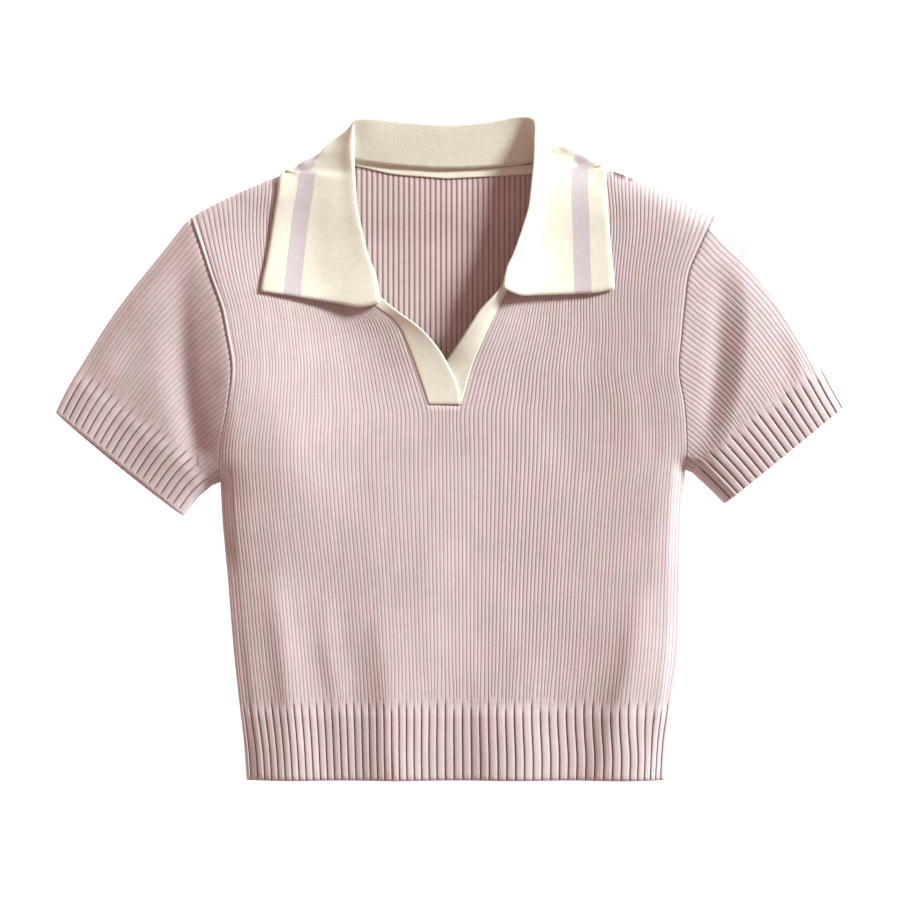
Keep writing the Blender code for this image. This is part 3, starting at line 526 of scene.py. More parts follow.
@dataclass
class LaidSurface:
    """Heights of the layer that lies on top, with its folds and creases."""

    pattern: ShirtPattern
    wall: float = 2.0
    layer_gap: float = 0.3
    puff: float = 2.2
    puff_reach: float = 25.0
    fold_reach: float = 12.0
    neck_rise: float = 6.4
    neck_rise_reach: float = 22.0
    neck_rise_from: Point = (45.0, 125.0)  # y where the rise by the slit sets in, and where it is full
    neck_rise_drop: Row = (118.0, 205.0, 0.7)  # y where it starts to drop, y where it has, and the share lost
    leaf_lift_height: float = 2.4
    leaf_edge: Row = (166.0, 14.0, 132.0, 34.0)  # middle, rise, half width, ease
    leaf_gap: float = 0.5  # clearance over the back where it lies on the hidden leaf
    ripple: Row = (0.18, 17.0, 0.6, 41.0, 63.0, 90.0)  # height, wave across, its sway and that one's wave, two more
    folds: tuple[Fold, ...] = ARMHOLE_FOLDS + SLEEVE_FOLDS + BODY_FOLDS
    outline: list[Array] = field(default_factory=list)
    neck_edges: list[Array] = field(default_factory=list)

    def __post_init__(self) -> None:
        """Work out the lines that the heights are measured from."""
        self.outline = self.pattern.outline()
        self.neck_edges = self.pattern.neck_edges()

    def leaf_lift(self, x: Array, y: Array) -> Array:
        """How far the body is raised by the collar's leaf that lies below the back."""
        middle, rise, half_width, ease = self.leaf_edge
        return self.leaf_lift_height * smooth_step(0.0, ease, y - middle - rise * (np.abs(x) / half_width) ** 3)

    def fold_height(self, x: Array, y: Array) -> Array:
        """The folds and a faint ripple, above the plain puffed layer.

        Args:
            x: Places across.
            y: Places up the shirt.

        Returns:
            Their height.
        """
        height, across, sway, sway_up, up, over = self.ripple
        ripple = height * np.sin(x / across + sway * np.sin(y / sway_up)) * np.sin(y / up + x / over)
        return ripple + sum(fold.height(x, y) for fold in self.folds)

    def underside(self, x: Array, y: Array) -> Array:
        """The underside of the layer that lies on top.

        Args:
            x: Places across.
            y: Places up the shirt.

        Returns:
            Its heights.
        """
        from_edge = self.edge_distance(x, y)
        puffed = self.puff * smooth_step(0.0, self.puff_reach, from_edge)
        folded = self.fold_height(x, y) * smooth_step(0.0, self.fold_reach, from_edge)
        near_neck = bell(distance_to(self.neck_edges, x, y), self.neck_rise_reach)
        low, high, drop = self.neck_rise_drop
        up_the_neck = smooth_step(*self.neck_rise_from, y) * (1.0 - drop * smooth_step(low, high, y))
        raised = puffed + folded + self.neck_rise * near_neck * up_the_neck
        lift = self.leaf_lift(x, y)
        over_leaf = lift + self.leaf_gap * smooth_step(0.0, 1.0, lift)
        return self.wall + self.layer_gap + over_leaf + np.maximum(raised, 0.0)

    def below_shoulders(self, x: Array, y: Array) -> Array:
        """How far below the shoulders' silhouette each place lies."""
        top = np.concatenate([self.pattern.shoulder_line(Side.LEFT), self.pattern.shoulder_line(Side.RIGHT)[::-1]])
        return np.interp(x, top[:, 0], top[:, 1]) - y

    def edge_distance(self, x: Array, y: Array) -> Array:
        """Distance in from the shirt's silhouette."""
        return distance_to(self.outline, x, y)


@dataclass(frozen=True)
class RibProfile:
    """The rounded section of one rib."""

    steps: int
    rise: float
    groove: float

    def spread(self, values: Array) -> Array:
        """Values of the fine columns, each from its nearest groove."""
        columns = (values.shape[-1] - 1) * self.steps + 1
        return values[..., np.rint(np.arange(columns) / self.steps).astype(int)]

    def heights(self, depth: Array, width: Array | float = 1.0) -> Array:
        """Rise of each fine column, from one outer groove to the other.

        Args:
            depth: Share of the full depth for each groove of each row.
            width: Share of the full width of the grooves, for each row.

        Returns:
            The rise of each column of each row.
        """
        place = np.arange((depth.shape[-1] - 1) * self.steps + 1) / self.steps
        from_groove = 0.5 - np.abs(place % 1.0 - 0.5)
        section = round_off(from_groove, self.groove * width)
        return self.rise * (1.0 - self.spread(depth) * (1.0 - section))


FINE_RIB = RibProfile(steps=6, rise=0.46, groove=0.5)
BROAD_RIB = RibProfile(steps=10, rise=1.35, groove=0.36)
INNER_RIB = RibProfile(steps=8, rise=0.5, groove=0.45)


@dataclass(frozen=True)
class RibJoin:
    """Where a fine rib runs on into a broad one: each broad groove grows out of a fine one, and the rest fade."""

    fine: int
    broad: int
    seed: int
    widths: tuple[Point, ...] = ((0.0, 1.0),)  # broad rib, its width beside the others
    early: float = 4.5  # how far above the join the first broad groove may start
    late: float = 4.0  # and how far below it the last
    fades: Point = (0.5, 4.5)  # how far above the join the other fine grooves fade
    fade_ease: float = 2.0
    growth: float = 7.0  # length over which a broad groove grows
    growth_ease: float = 1.0
    deepening: float = 0.6
    narrow_width: float = 0.6  # share of its width with which a broad groove starts
    level: float = 0.26  # rise of the broad ribs at the join
    level_reach: float = 12.0
    straighten: float = 50.0  # length below the join over which the broad ribs find their own spacing
    lean: float = 36.0  # length above the join over which the fine ribs do

    def grooves(self, widths: Sequence[Point] | None = None) -> Array:
        """Shares across of the broad grooves, from a table of the ribs' widths."""
        width = np.interp(np.arange(self.broad), *np.array(widths or self.widths).T)
        return running(width) / width.sum()

    def grown_from(self) -> Array:
        """The fine groove that each broad groove grows out of."""
        return np.rint(self.grooves() * self.fine).astype(int)

    def starts(self) -> Array:
        """How far above the join each broad groove starts; below 0 where it starts under it."""
        return np.random.default_rng(self.seed).uniform(-self.late, self.early, self.broad + 1)

    def fine_depth(self, above: Array) -> Array:
        """How deep every fine groove is.

        Args:
            above: Distances above the join.

        Returns:
            Depth shares of the grooves at each distance.
        """
        above = np.asarray(above, float)[:, None]
        fades = np.random.default_rng(self.seed + 1).uniform(*self.fades, self.fine + 1)
        depth = smooth_step(fades - self.fade_ease, fades + self.fade_ease, above)
        starts = self.starts()
        grown = 1.0 - smooth_step(starts - self.fade_ease, starts + self.fade_ease, above)
        depth[:, self.grown_from()] = 1.0 + self.deepening * grown
        return depth

    def broad_depth(self, below: Array) -> Array:
        """How deep every broad groove is.

        Args:
            below: Distances below the join.

        Returns:
            Depth shares of the grooves at each distance.
        """
        at_join = self.fine_depth([0.0])[0, self.grown_from()] * FINE_RIB.rise / BROAD_RIB.rise
        starts = self.starts()
        first = np.maximum(-starts, 0.0) - self.growth_ease
        grown = smooth_step(first, self.growth - starts, np.asarray(below, float)[:, None])
        return at_join + (1.0 - at_join) * grown

    def broad_heights(self, below: Array, depth: Array) -> Array:
        """Rise of each fine column of the broad rib, which starts as low as the fine one.

        Args:
            below: Distance of each row below the join.
            depth: Depth share of every groove of each row.

        Returns:
            The rise of each column of each row.
        """
        below = np.asarray(below, float)[:, None]
        width = self.narrow_width + (1.0 - self.narrow_width) * smooth_step(0.0, self.growth, below)
        sunk = (BROAD_RIB.rise - self.level) * (1.0 - smooth_step(0.0, self.level_reach, below))
        return BROAD_RIB.heights(depth, width) - sunk

    def fine_columns(self, above: Array) -> Array:
        """Where the fine ribs' columns lie, which meet the broad ribs at the join.

        Args:
            above: Distances above the join.

        Returns:
            Shares across at each distance.
        """
        even = np.arange(self.fine * FINE_RIB.steps + 1) / (self.fine * FINE_RIB.steps)
        met = np.interp(even, self.grown_from() / self.fine, self.grooves())
        eased = smooth_step(0.0, self.lean, np.asarray(above, float)[:, None])
        return met * (1.0 - eased) + even * eased

    def columns(self, below: Array, even: Array) -> Array:
        """Shares across of the fine columns of each row, from the join to the lower edge.

        Args:
            below: Distance of each row below the join.
            even: Shares across of the broad grooves away from the join.

        Returns:
            The share of each column of each row.
        """
        eased = smooth_step(0.0, self.straighten, np.asarray(below, float)[:, None])
        grooves = self.grooves() * (1.0 - eased) + even * eased
        place = np.arange(self.broad * BROAD_RIB.steps + 1) / BROAD_RIB.steps
        return np.array([np.interp(place, np.arange(self.broad + 1), row) for row in grooves])


# --- Meshes ---


class ClothWall:
    """A wall of cloth between a fine outer grid and a coarse inner one, both rows by columns of points."""

    def __init__(
        self, outer: Array, inner: Array, breaks: Sequence[int], outer_map: Array,
        missing: Iterable[tuple[int, int]] = (), closed: bool = False, ribbed_cells: int | None = None,
        runs_on: tuple[bool, bool] = (False, False),
    ) -> None:
        """Keep the grids.

        Args:
            outer: Fine grid of points.
            inner: Coarse grid of points.
            breaks: The fine columns that the coarse grid shares.
            outer_map: Knit coordinates of the fine grid: rib number, length along it and groove's depth.
            missing: Cells that are left out, as row and cell.
            closed: Whether the wall is a tube.
            ribbed_cells: How many cells from the start carry raised ribs; all of them by default.
            runs_on: Whether the cloth runs on into another piece at its first row and at its last.
        """
        self.breaks, self.closed = [int(b) for b in breaks], closed
        self.missing = {(row + int(runs_on[0]), cell) for row, cell in missing}
        self.outer, self.inner, self.map = (self.supported(grid, runs_on) for grid in (outer, inner, outer_map))
        self.rows, self.cells = len(self.outer), len(self.breaks) - 1
        self.ribbed_cells = self.cells if ribbed_cells is None else ribbed_cells
        self.index: dict[tuple[bool, int, int], int] = {}
        self.points: list[Array] = []
        self.coordinates: list[Array] = []
        self.faces: list[tuple[int, ...]] = []
        self.kinds: list[int] = []

    @staticmethod
    def supported(grid: Array, runs_on: tuple[bool, bool]) -> Array:
        """Keep the shading level up to an end that runs on, by one more row close to it.

        Args:
            grid: The grid of points.
            runs_on: Whether the cloth runs on at its first row and at its last.

        Returns:
            The grid with these rows.
        """
        grid = np.asarray(grid, float)
        if runs_on[0]:
            grid = np.concatenate([grid[:1], grid[:1] + SUPPORT_SHARE * (grid[1:2] - grid[:1]), grid[1:]])
        if runs_on[1]:
            grid = np.concatenate([grid[:-1], grid[-1:] + SUPPORT_SHARE * (grid[-2:-1] - grid[-1:]), grid[-1:]])
        return grid

    def point(self, is_outer: bool, row: int, column: int) -> int:
        """Find this grid point among the mesh's points, or add it.

        Args:
            is_outer: Whether it is a point of the outer grid.
            row: Its row.
            column: Its column.

        Returns:
            Its number.
        """
        if self.closed:
            column %= self.breaks[-1] if is_outer else self.cells
        key = (is_outer, row, column)
        if key not in self.index:
            self.index[key] = len(self.points)
            self.points.append((self.outer if is_outer else self.inner)[row, column])
            fine = column if is_outer else self.breaks[column]
            self.coordinates.append(self.map[row, fine])
        return self.index[key]

    def there(self, row: int, cell: int) -> bool:
        """Whether the cell exists."""
        cell = cell % self.cells if self.closed else cell
        return 0 <= row < self.rows - 1 and 0 <= cell < self.cells and (row, cell) not in self.missing

    def add(self, kind: Face, *corners: int) -> None:
        """A face of this kind."""
        self.faces.append(corners)
        self.kinds.append(kind.value)

    def add_cell(self, row: int, cell: int) -> None:
        """The outer and inner faces of a cell, and a face along each side that has no neighbour.

        Args:
            row: The cell's row.
            cell: Its number in the row.
        """
        span = range(self.breaks[cell], self.breaks[cell + 1] + 1)
        low = [self.point(True, row, column) for column in span]
        high = [self.point(True, row + 1, column) for column in span]
        inner = [self.point(False, row + up, cell + over) for up, over in ((0, 0), (0, 1), (1, 1), (1, 0))]
        kind = Face.RIBBED if cell < self.ribbed_cells else Face.PLAIN
        for i in range(len(low) - 1):
            self.add(kind, low[i], low[i + 1], high[i + 1], high[i])
        self.add(Face.PLAIN, inner[0], inner[3], inner[2], inner[1])
        if not self.there(row - 1, cell):
            self.add(Face.PLAIN, inner[0], inner[1], *low[::-1])
        if not self.there(row + 1, cell):
            self.add(Face.PLAIN, inner[2], inner[3], *high)
        if not self.there(row, cell - 1):
            self.add(Face.PLAIN, low[0], high[0], inner[3], inner[0])
        if not self.there(row, cell + 1):
            self.add(Face.PLAIN, high[-1], low[-1], inner[1], inner[2])

    def build(self, name: str, materials: Sequence[Material]) -> Object:
        """Make the object.

        Args:
            name: The object's name.
            materials: Materials of the ribbed and the plain faces.

        Returns:
            The finished object.
        """
        for row in range(self.rows - 1):
            for cell in range(self.cells):
                if self.there(row, cell):
                    self.add_cell(row, cell)
        return make_mesh(name, np.array(self.points), self.faces, np.array(self.coordinates), self.kinds, materials)


def make_mesh(
    name: str, points: Array, faces: Sequence[Sequence[int]], coordinates: Array, kinds: Sequence[int],
    materials: Sequence[Material],
) -> Object:
    """A smooth-shaded mesh object with its knit coordinates.

    Args:
        name: The object's name.
        points: Points in millimetres.
        faces: Corner numbers of each face.
        coordinates: Knit coordinates of each point.
        kinds: Material index of each face.
        materials: The materials.

    Returns:
        The linked object, which rides on the shirt.
    """
    mesh = bpy.data.meshes.new(name)
    mesh.from_pydata((points * MM).tolist(), [], faces)
    corner = np.empty(len(mesh.loops), dtype=np.int32)
    mesh.loops.foreach_get("vertex_index", corner)
    layer = mesh.uv_layers.new(name=KNIT_UV)
    layer.data.foreach_set("uv", coordinates[corner][:, :2].astype(np.float32).ravel())
    # Each groove's depth share, which sets the painted shade in the grooves.
    groove_shade_depth = mesh.attributes.new(GROOVE_SHADE_DEPTH, "FLOAT", "POINT")
    depth = coordinates[:, 2] if coordinates.shape[1] > 2 else np.ones(len(points))
    groove_shade_depth.data.foreach_set("value", depth.astype(np.float32))
    mesh.polygons.foreach_set("material_index", np.asarray(kinds, dtype=np.int32))
    mesh.polygons.foreach_set("use_smooth", np.ones(len(mesh.polygons), dtype=bool))
    for material in materials:
        mesh.materials.append(material)
    mesh.update()
    made = bpy.data.objects.new(name, mesh)
    link(made)
    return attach(made, "root")


def sheet_wall(
    middle: Array, thickness: float, coordinates: Array, name: str, materials: list[Material], taper: Array
) -> Object:
    """A plain wall of even thickness round a grid of middle points, with rounded edges.

    Args:
        middle: Rows by columns of points.
        thickness: The cloth's thickness.
        coordinates: Knit coordinates of the grid.
        name: The object's name.
        materials: Its material, alone in a list.
        taper: Share of the thickness at each point.

    Returns:
        The finished object.
    """
    down, across = np.gradient(middle, axis=0), np.gradient(middle, axis=1)
    normal = unit(np.cross(across, down))
    half = 0.5 * thickness * np.broadcast_to(taper, middle.shape[:2])[..., None]
    wall = ClothWall(middle + normal * half, middle - normal * half, range(middle.shape[1]), coordinates)
    return wall.build(name, materials * 2)


# --- Finishes ---


class NodeChain:
    """A short way to add and join shader nodes in one tree."""

    def __init__(self, tree: NodeTree) -> None:
        """Keep the tree."""
        self.tree = tree

    def put(self, socket: NodeSocket, value: object) -> None:
        """Join an output to a socket, or set the socket's value.

        Args:
            socket: The socket.
            value: The output or the value.
        """
        if isinstance(value, NodeSocket):
            self.tree.links.new(value, socket)
        else:
            socket.default_value = value

    def give(self, node: Node, given: dict[str | int, object]) -> None:
        """Put outputs or values into the inputs of these names or numbers."""
        for name, value in given.items():
            self.put(node.inputs[name], value)

    def node(self, kind: str, given: dict[str | int, object] | None = None, **settings: object) -> Node:
        """Add a node.

        Args:
            kind: Its type.
            given: What goes into its inputs, by name or number.
            **settings: Its properties.

        Returns:
            The node.
        """
        made = self.tree.nodes.new(kind)
        for name, value in settings.items():
            setattr(made, name, value)
        self.give(made, given or {})
        return made

    def math(self, operation: str, *values: object) -> NodeSocket:
        """The result of a math node on these outputs or numbers."""
        return self.node("ShaderNodeMath", dict(enumerate(values)), operation=operation).outputs[0]

    def split(self, vector: object) -> tuple[NodeSocket, NodeSocket]:
        """The first two parts of a vector."""
        made = self.node("ShaderNodeSeparateXYZ", {0: vector})
        return made.outputs[0], made.outputs[1]

    def noise(self, place: NodeSocket, scale: object, detail: float) -> NodeSocket:
        """Soft noise at this place."""
        given = {"Vector": place, "Scale": scale, "Detail": detail}
        return self.node("ShaderNodeTexNoise", given).outputs[0]

    def ease(self, value: object, low: object, high: object, start: float = 0.0, end: float = 1.0) -> NodeSocket:
        """A value eased from start at low to end at high."""
        given = {"Value": value, "From Min": low, "From Max": high, "To Min": start, "To Max": end}
        return self.node("ShaderNodeMapRange", given, interpolation_type="SMOOTHSTEP").outputs["Result"]

    def mix(self, share: object, first: object, second: object, blend: str = "MIX") -> NodeSocket:
        """Mix two colours.

        Args:
            share: Share of the second.
            first: First colour.
            second: Second colour.
            blend: How they are mixed.

        Returns:
            The mixed colour.
        """
        made = self.node("ShaderNodeMix", {"Factor": share}, data_type="RGBA", blend_type=blend)
        for socket, colour in zip((socket for socket in made.inputs if socket.type == "RGBA"), (first, second)):
            self.put(socket, colour)
        return next(socket for socket in made.outputs if socket.type == "RGBA")


def new_group(
    name: str, inputs: Sequence[tuple[str, str, float]], outputs: Sequence[tuple[str, str]]
) -> tuple[NodeTree, NodeChain, Node, Node]:
    """An empty shader node group with named sockets.

    Args:
        name: The group's name.
        inputs: Name, socket type and first value of each input.
        outputs: Name and socket type of each output.

    Returns:
        The group, a chain for its nodes, its input node and its output node.
    """
    group = bpy.data.node_groups.new(name, "ShaderNodeTree")
    for label, kind, value in inputs:
        socket = group.interface.new_socket(name=label, in_out="INPUT", socket_type=kind)
        if kind == FLOAT:
            socket.default_value = value
    for label, kind in outputs:
        group.interface.new_socket(name=label, in_out="OUTPUT", socket_type=kind)
    chain = NodeChain(group)
    return group, chain, chain.node("NodeGroupInput"), chain.node("NodeGroupOutput")


class KnitGroups:
    """The shader node groups that all the knits share."""

    loop_lean = 0.45  # how far a loop's legs lean, in courses
    roundings = (0.6, 0.5)  # powers that round a loop along the rib and across it
    tone_shares = (0.6, 0.4)  # of the broad patches and of the fine ones
    fine_patch = 260.0
    rib_apart = 0.83  # how far apart in the noise two neighbouring ribs are
    dye_stretch = (0.02, 0.035)  # along the ribs, of the tone and of the tint
    dye_tones = (0.95, 1.04)
    dye_tints = ((0.975, 1.005, 0.985, 1.0), (1.03, 0.985, 0.995, 1.0))

    def __init__(self) -> None:
        """Build the groups."""
        self.stitches = self.build_stitches()
        self.yarn = self.build_yarn()
        self.dye = self.build_dye()

    def build_stitches(self) -> NodeTree:
        """Rows of knit loops from the knit coordinates.

        Returns:
            A group that puts out the groove between ribs, which sets the painted groove shade and the rib bump, and
            the height of the loops, which sets the bump and the painted loop shade.
        """
        group, chain, given, result = new_group(
            "Knit stitches",
            [("Vector", VECTOR, 0.0), ("Wales", FLOAT, 2.0), ("Courses", FLOAT, 0.9), ("Groove", FLOAT, 0.2)],
            [("Groove", FLOAT), ("Height", FLOAT)],
        )
        across, length = chain.split(given.outputs["Vector"])
        from_groove = chain.math("PINGPONG", across, 0.5)
        groove = chain.ease(from_groove, 0.0, given.outputs["Groove"], 1.0, 0.0)
        wale = chain.math("MULTIPLY", across, given.outputs["Wales"])
        from_edge = chain.math("MULTIPLY", chain.math("PINGPONG", wale, 0.5), 2.0)
        level = chain.math("MULTIPLY", length, given.outputs["Courses"])
        course = chain.math("MULTIPLY_ADD", from_edge, -self.loop_lean, level)
        loop = chain.math("MULTIPLY", chain.math("PINGPONG", course, 0.5), 2.0)
        parts = [chain.math("POWER", part, power) for part, power in zip((loop, from_edge), self.roundings)]
        rounded = chain.math("MULTIPLY", *parts)
        chain.give(result, {"Groove": groove, "Height": rounded})
        return group

    def build_yarn(self) -> NodeTree:
        """Uneven dye and loose fibres.

        Returns:
            A group that puts out the dye's tone over the cloth, and the height of the fibres.
        """
        group, chain, given, result = new_group(
            "Yarn", [("Patch", FLOAT, 22.0), ("Fibre", FLOAT, 1400.0)], [("Tone", FLOAT), ("Fuzz", FLOAT)]
        )
        place = chain.node("ShaderNodeTexCoord").outputs["Object"]
        noises = [chain.noise(place, given.outputs["Patch"], 3.0), chain.noise(place, self.fine_patch, 2.0)]
        parts = [chain.math("MULTIPLY", noise, share) for noise, share in zip(noises, self.tone_shares)]
        fuzz = chain.noise(place, given.outputs["Fibre"], 2.0)
        chain.give(result, {"Tone": chain.math("ADD", *parts), "Fuzz": fuzz})
        return group

    def build_dye(self) -> NodeTree:
        """Slightly different tones and tints from rib to rib.

        Returns:
            A group that puts out the tone and the tint of each rib, from the knit coordinates.
        """
        group, chain, given, result = new_group(
            "Rib dye", [("Vector", VECTOR, 0.0), ("Tint ribs", FLOAT, 0.2)], [("Tone", FLOAT), ("Tint", COLOUR)]
        )
        across, length = chain.split(given.outputs["Vector"])
        single = chain.math("MULTIPLY", chain.math("FLOOR", across), self.rib_apart)
        several = chain.math("MULTIPLY", across, given.outputs["Tint ribs"])
        noises = []
        for place, stretch in zip((single, several), self.dye_stretch):
            where = chain.node("ShaderNodeCombineXYZ", {0: place, 1: chain.math("MULTIPLY", length, stretch)})
            noises.append(chain.noise(where.outputs[0], 1.0, 1.0))
        tone = chain.ease(noises[0], 0.25, 0.75, *self.dye_tones)
        tint = chain.mix(chain.ease(noises[1], 0.32, 0.68), *self.dye_tints)
        chain.give(result, {"Tone": tone, "Tint": tint})
        return group


@dataclass(frozen=True)
class KnitFinish:
    """The colours and surface of one knit, with painted shade in its grooves and between its loops."""

    name: str
    ridge: Colour
    # The groove colour is painted shade, mixed in over the grooves as far as the groove share says.
    groove: Colour
    groove_width: float
    groove_shade_share: float
    wales: float
    courses: float
    rib_bump: float = 0.0
    stitch_bump: float = 0.12
    roughness: float = 0.88
    sheen: float = 0.25
    stripe: Colour | None = None
    stripe_span: Point = (15.5, 29.5)
    stripe_edge: float = 0.5
    rib_pitch: float = 1.0
    tint_ribs: float = 0.0
    tones: Point = (0.90, 1.06)  # of the uneven dye
    loop_shades: Point = (0.95, 1.02)  # painted shade between the loops and slight painted light on them
    smoother: float = 0.06  # how much less rough the darkest dye is
    specular: float = 0.25
    sheen_roughness: float = 0.55
    fuzz: float = 0.35  # the fibres' height beside the loops'

    @cache
    def material(self, groups: KnitGroups) -> Material:
        """Build the material, once.

        Args:
            groups: The shared shader groups.

        Returns:
            The material, with the Principled shader in its own tree.
        """
        made = bpy.data.materials.new(self.name)
        made.use_nodes = True
        chain = NodeChain(made.node_tree)
        shader = made.node_tree.nodes["Principled BSDF"]
        mapped = chain.node("ShaderNodeUVMap", uv_map=KNIT_UV).outputs[0]
        place = mapped
        if self.rib_pitch != 1.0:
            scale = (1.0 / self.rib_pitch, 1.0, 1.0)
            place = chain.node("ShaderNodeVectorMath", {0: mapped, 1: scale}, operation="MULTIPLY").outputs[0]
        given = {"Vector": place, "Wales": self.wales, "Courses": self.courses, "Groove": self.groove_width}
        stitches = chain.node("ShaderNodeGroup", given, node_tree=groups.stitches)
        yarn = chain.node("ShaderNodeGroup", node_tree=groups.yarn)
        # Painted shade: the groove colour is mixed in over the grooves, as strongly as the groove share and each
        # groove's depth say.
        groove_shade_depth = chain.node("ShaderNodeAttribute", attribute_name=GROOVE_SHADE_DEPTH).outputs["Fac"]
        depth = chain.math("MULTIPLY", chain.math("MULTIPLY", stitches.outputs["Groove"], self.groove_shade_share), groove_shade_depth)
        colour = chain.mix(depth, (*self.ridge, 1.0), (*self.groove, 1.0))
        if self.stripe:
            (low, high), soft, (across, _) = self.stripe_span, self.stripe_edge, chain.split(mapped)
            rise = chain.ease(across, low - soft, low + soft)
            fall = chain.ease(across, high - soft, high + soft, 1.0, 0.0)
            colour = chain.mix(chain.math("MULTIPLY", rise, fall), colour, (*self.stripe, 1.0))
        tone = chain.ease(yarn.outputs["Tone"], 0.25, 0.75, *self.tones)
        # Painted shade between the loops and slight painted light on them; shade holds the uneven dye tone times this
        # painted shade.
        loops = chain.ease(stitches.outputs["Height"], 0.0, 1.0, *self.loop_shades)
        shade = chain.math("MULTIPLY", tone, loops)
        if self.tint_ribs:
            dye = chain.node("ShaderNodeGroup", {"Vector": place, "Tint ribs": self.tint_ribs}, node_tree=groups.dye)
            shade = chain.math("MULTIPLY", shade, dye.outputs["Tone"])
            colour = chain.mix(1.0, colour, dye.outputs["Tint"], "MULTIPLY")
        grey = chain.node("ShaderNodeCombineXYZ", dict.fromkeys(range(3), shade)).outputs[0]
        height = chain.math("MULTIPLY_ADD", yarn.outputs["Fuzz"], self.fuzz, stitches.outputs["Height"])
        if self.rib_bump:
            height = chain.math("MULTIPLY_ADD", stitches.outputs["Groove"], -self.rib_bump / self.stitch_bump, height)
        bump = chain.node("ShaderNodeBump", {"Height": height, "Strength": 1.0, "Distance": self.stitch_bump * MM})
        chain.give(shader, {
            "Base Color": chain.mix(1.0, colour, grey, "MULTIPLY"),
            "Roughness": chain.ease(yarn.outputs["Tone"], 0.2, 0.8, self.roughness - self.smoother, self.roughness),
            "Metallic": 0.0,
            "Specular IOR Level": self.specular,
            "Sheen Weight": self.sheen,
            "Sheen Roughness": self.sheen_roughness,
            "Normal": bump.outputs[0],
        })
        return made


# The groove colours below are painted shade in the grooves between the ribs; PINK, CREAM and STRIPE are the knits'
# own colours.
PINK = (0.585, 0.50, 0.505)
PINK_GROOVE_SHADE = (0.25, 0.165, 0.16)
BAND_GROOVE_SHADE = (0.1, 0.06, 0.06)
CREAM = (0.74, 0.735, 0.615)
CREAM_GROOVE_SHADE = (0.55, 0.52, 0.43)
STRIPE = (0.56, 0.50, 0.52)

BODY_RIBS = KnitFinish("body rib knit", PINK, PINK_GROOVE_SHADE, 0.24, 0.55, wales=2.0, courses=0.95, tint_ribs=0.13)
BODY_PLAIN = KnitFinish("body rib knit, smooth side", PINK, PINK_GROOVE_SHADE, 0.30, 0.6, 2.0, 0.95, rib_bump=0.35)
BAND_RIBS = KnitFinish("band rib knit", PINK, BAND_GROOVE_SHADE, 0.15, 0.92, wales=4.0, courses=0.8, tint_ribs=0.4)
BAND_PLAIN = KnitFinish("band rib knit, smooth side", PINK, BAND_GROOVE_SHADE, 0.14, 0.8, 4.0, 0.8, rib_bump=0.5)
# Its groove colour is painted shade in the grooves; its ridge colour is darker and redder than PINK.
INSIDE_RIBS = KnitFinish("inside rib knit", (0.555, 0.445, 0.445), (0.2, 0.11, 0.11), 0.26, 0.85, 2.0, 0.95)
COLLAR_KNIT = KnitFinish(
    "collar flat knit", CREAM, CREAM_GROOVE_SHADE, 0.3, 0.10, 1.0, 0.9, stripe=STRIPE, rib_pitch=1.3, stitch_bump=0.1
)
PLACKET_KNIT = KnitFinish(
    "placket flat knit", CREAM, CREAM_GROOVE_SHADE, 0.3, 0.10, 1.0, 0.9, rib_pitch=1.3, stitch_bump=0.1
)


# --- The pieces ---


@dataclass
class Piece:
    """What every piece of the shirt is made from."""

    pattern: ShirtPattern
    surface: LaidSurface
    groups: KnitGroups

    def knits(self, *finishes: KnitFinish) -> list[Material]:
        """The materials of these finishes."""
        return [finish.material(self.groups) for finish in finishes]


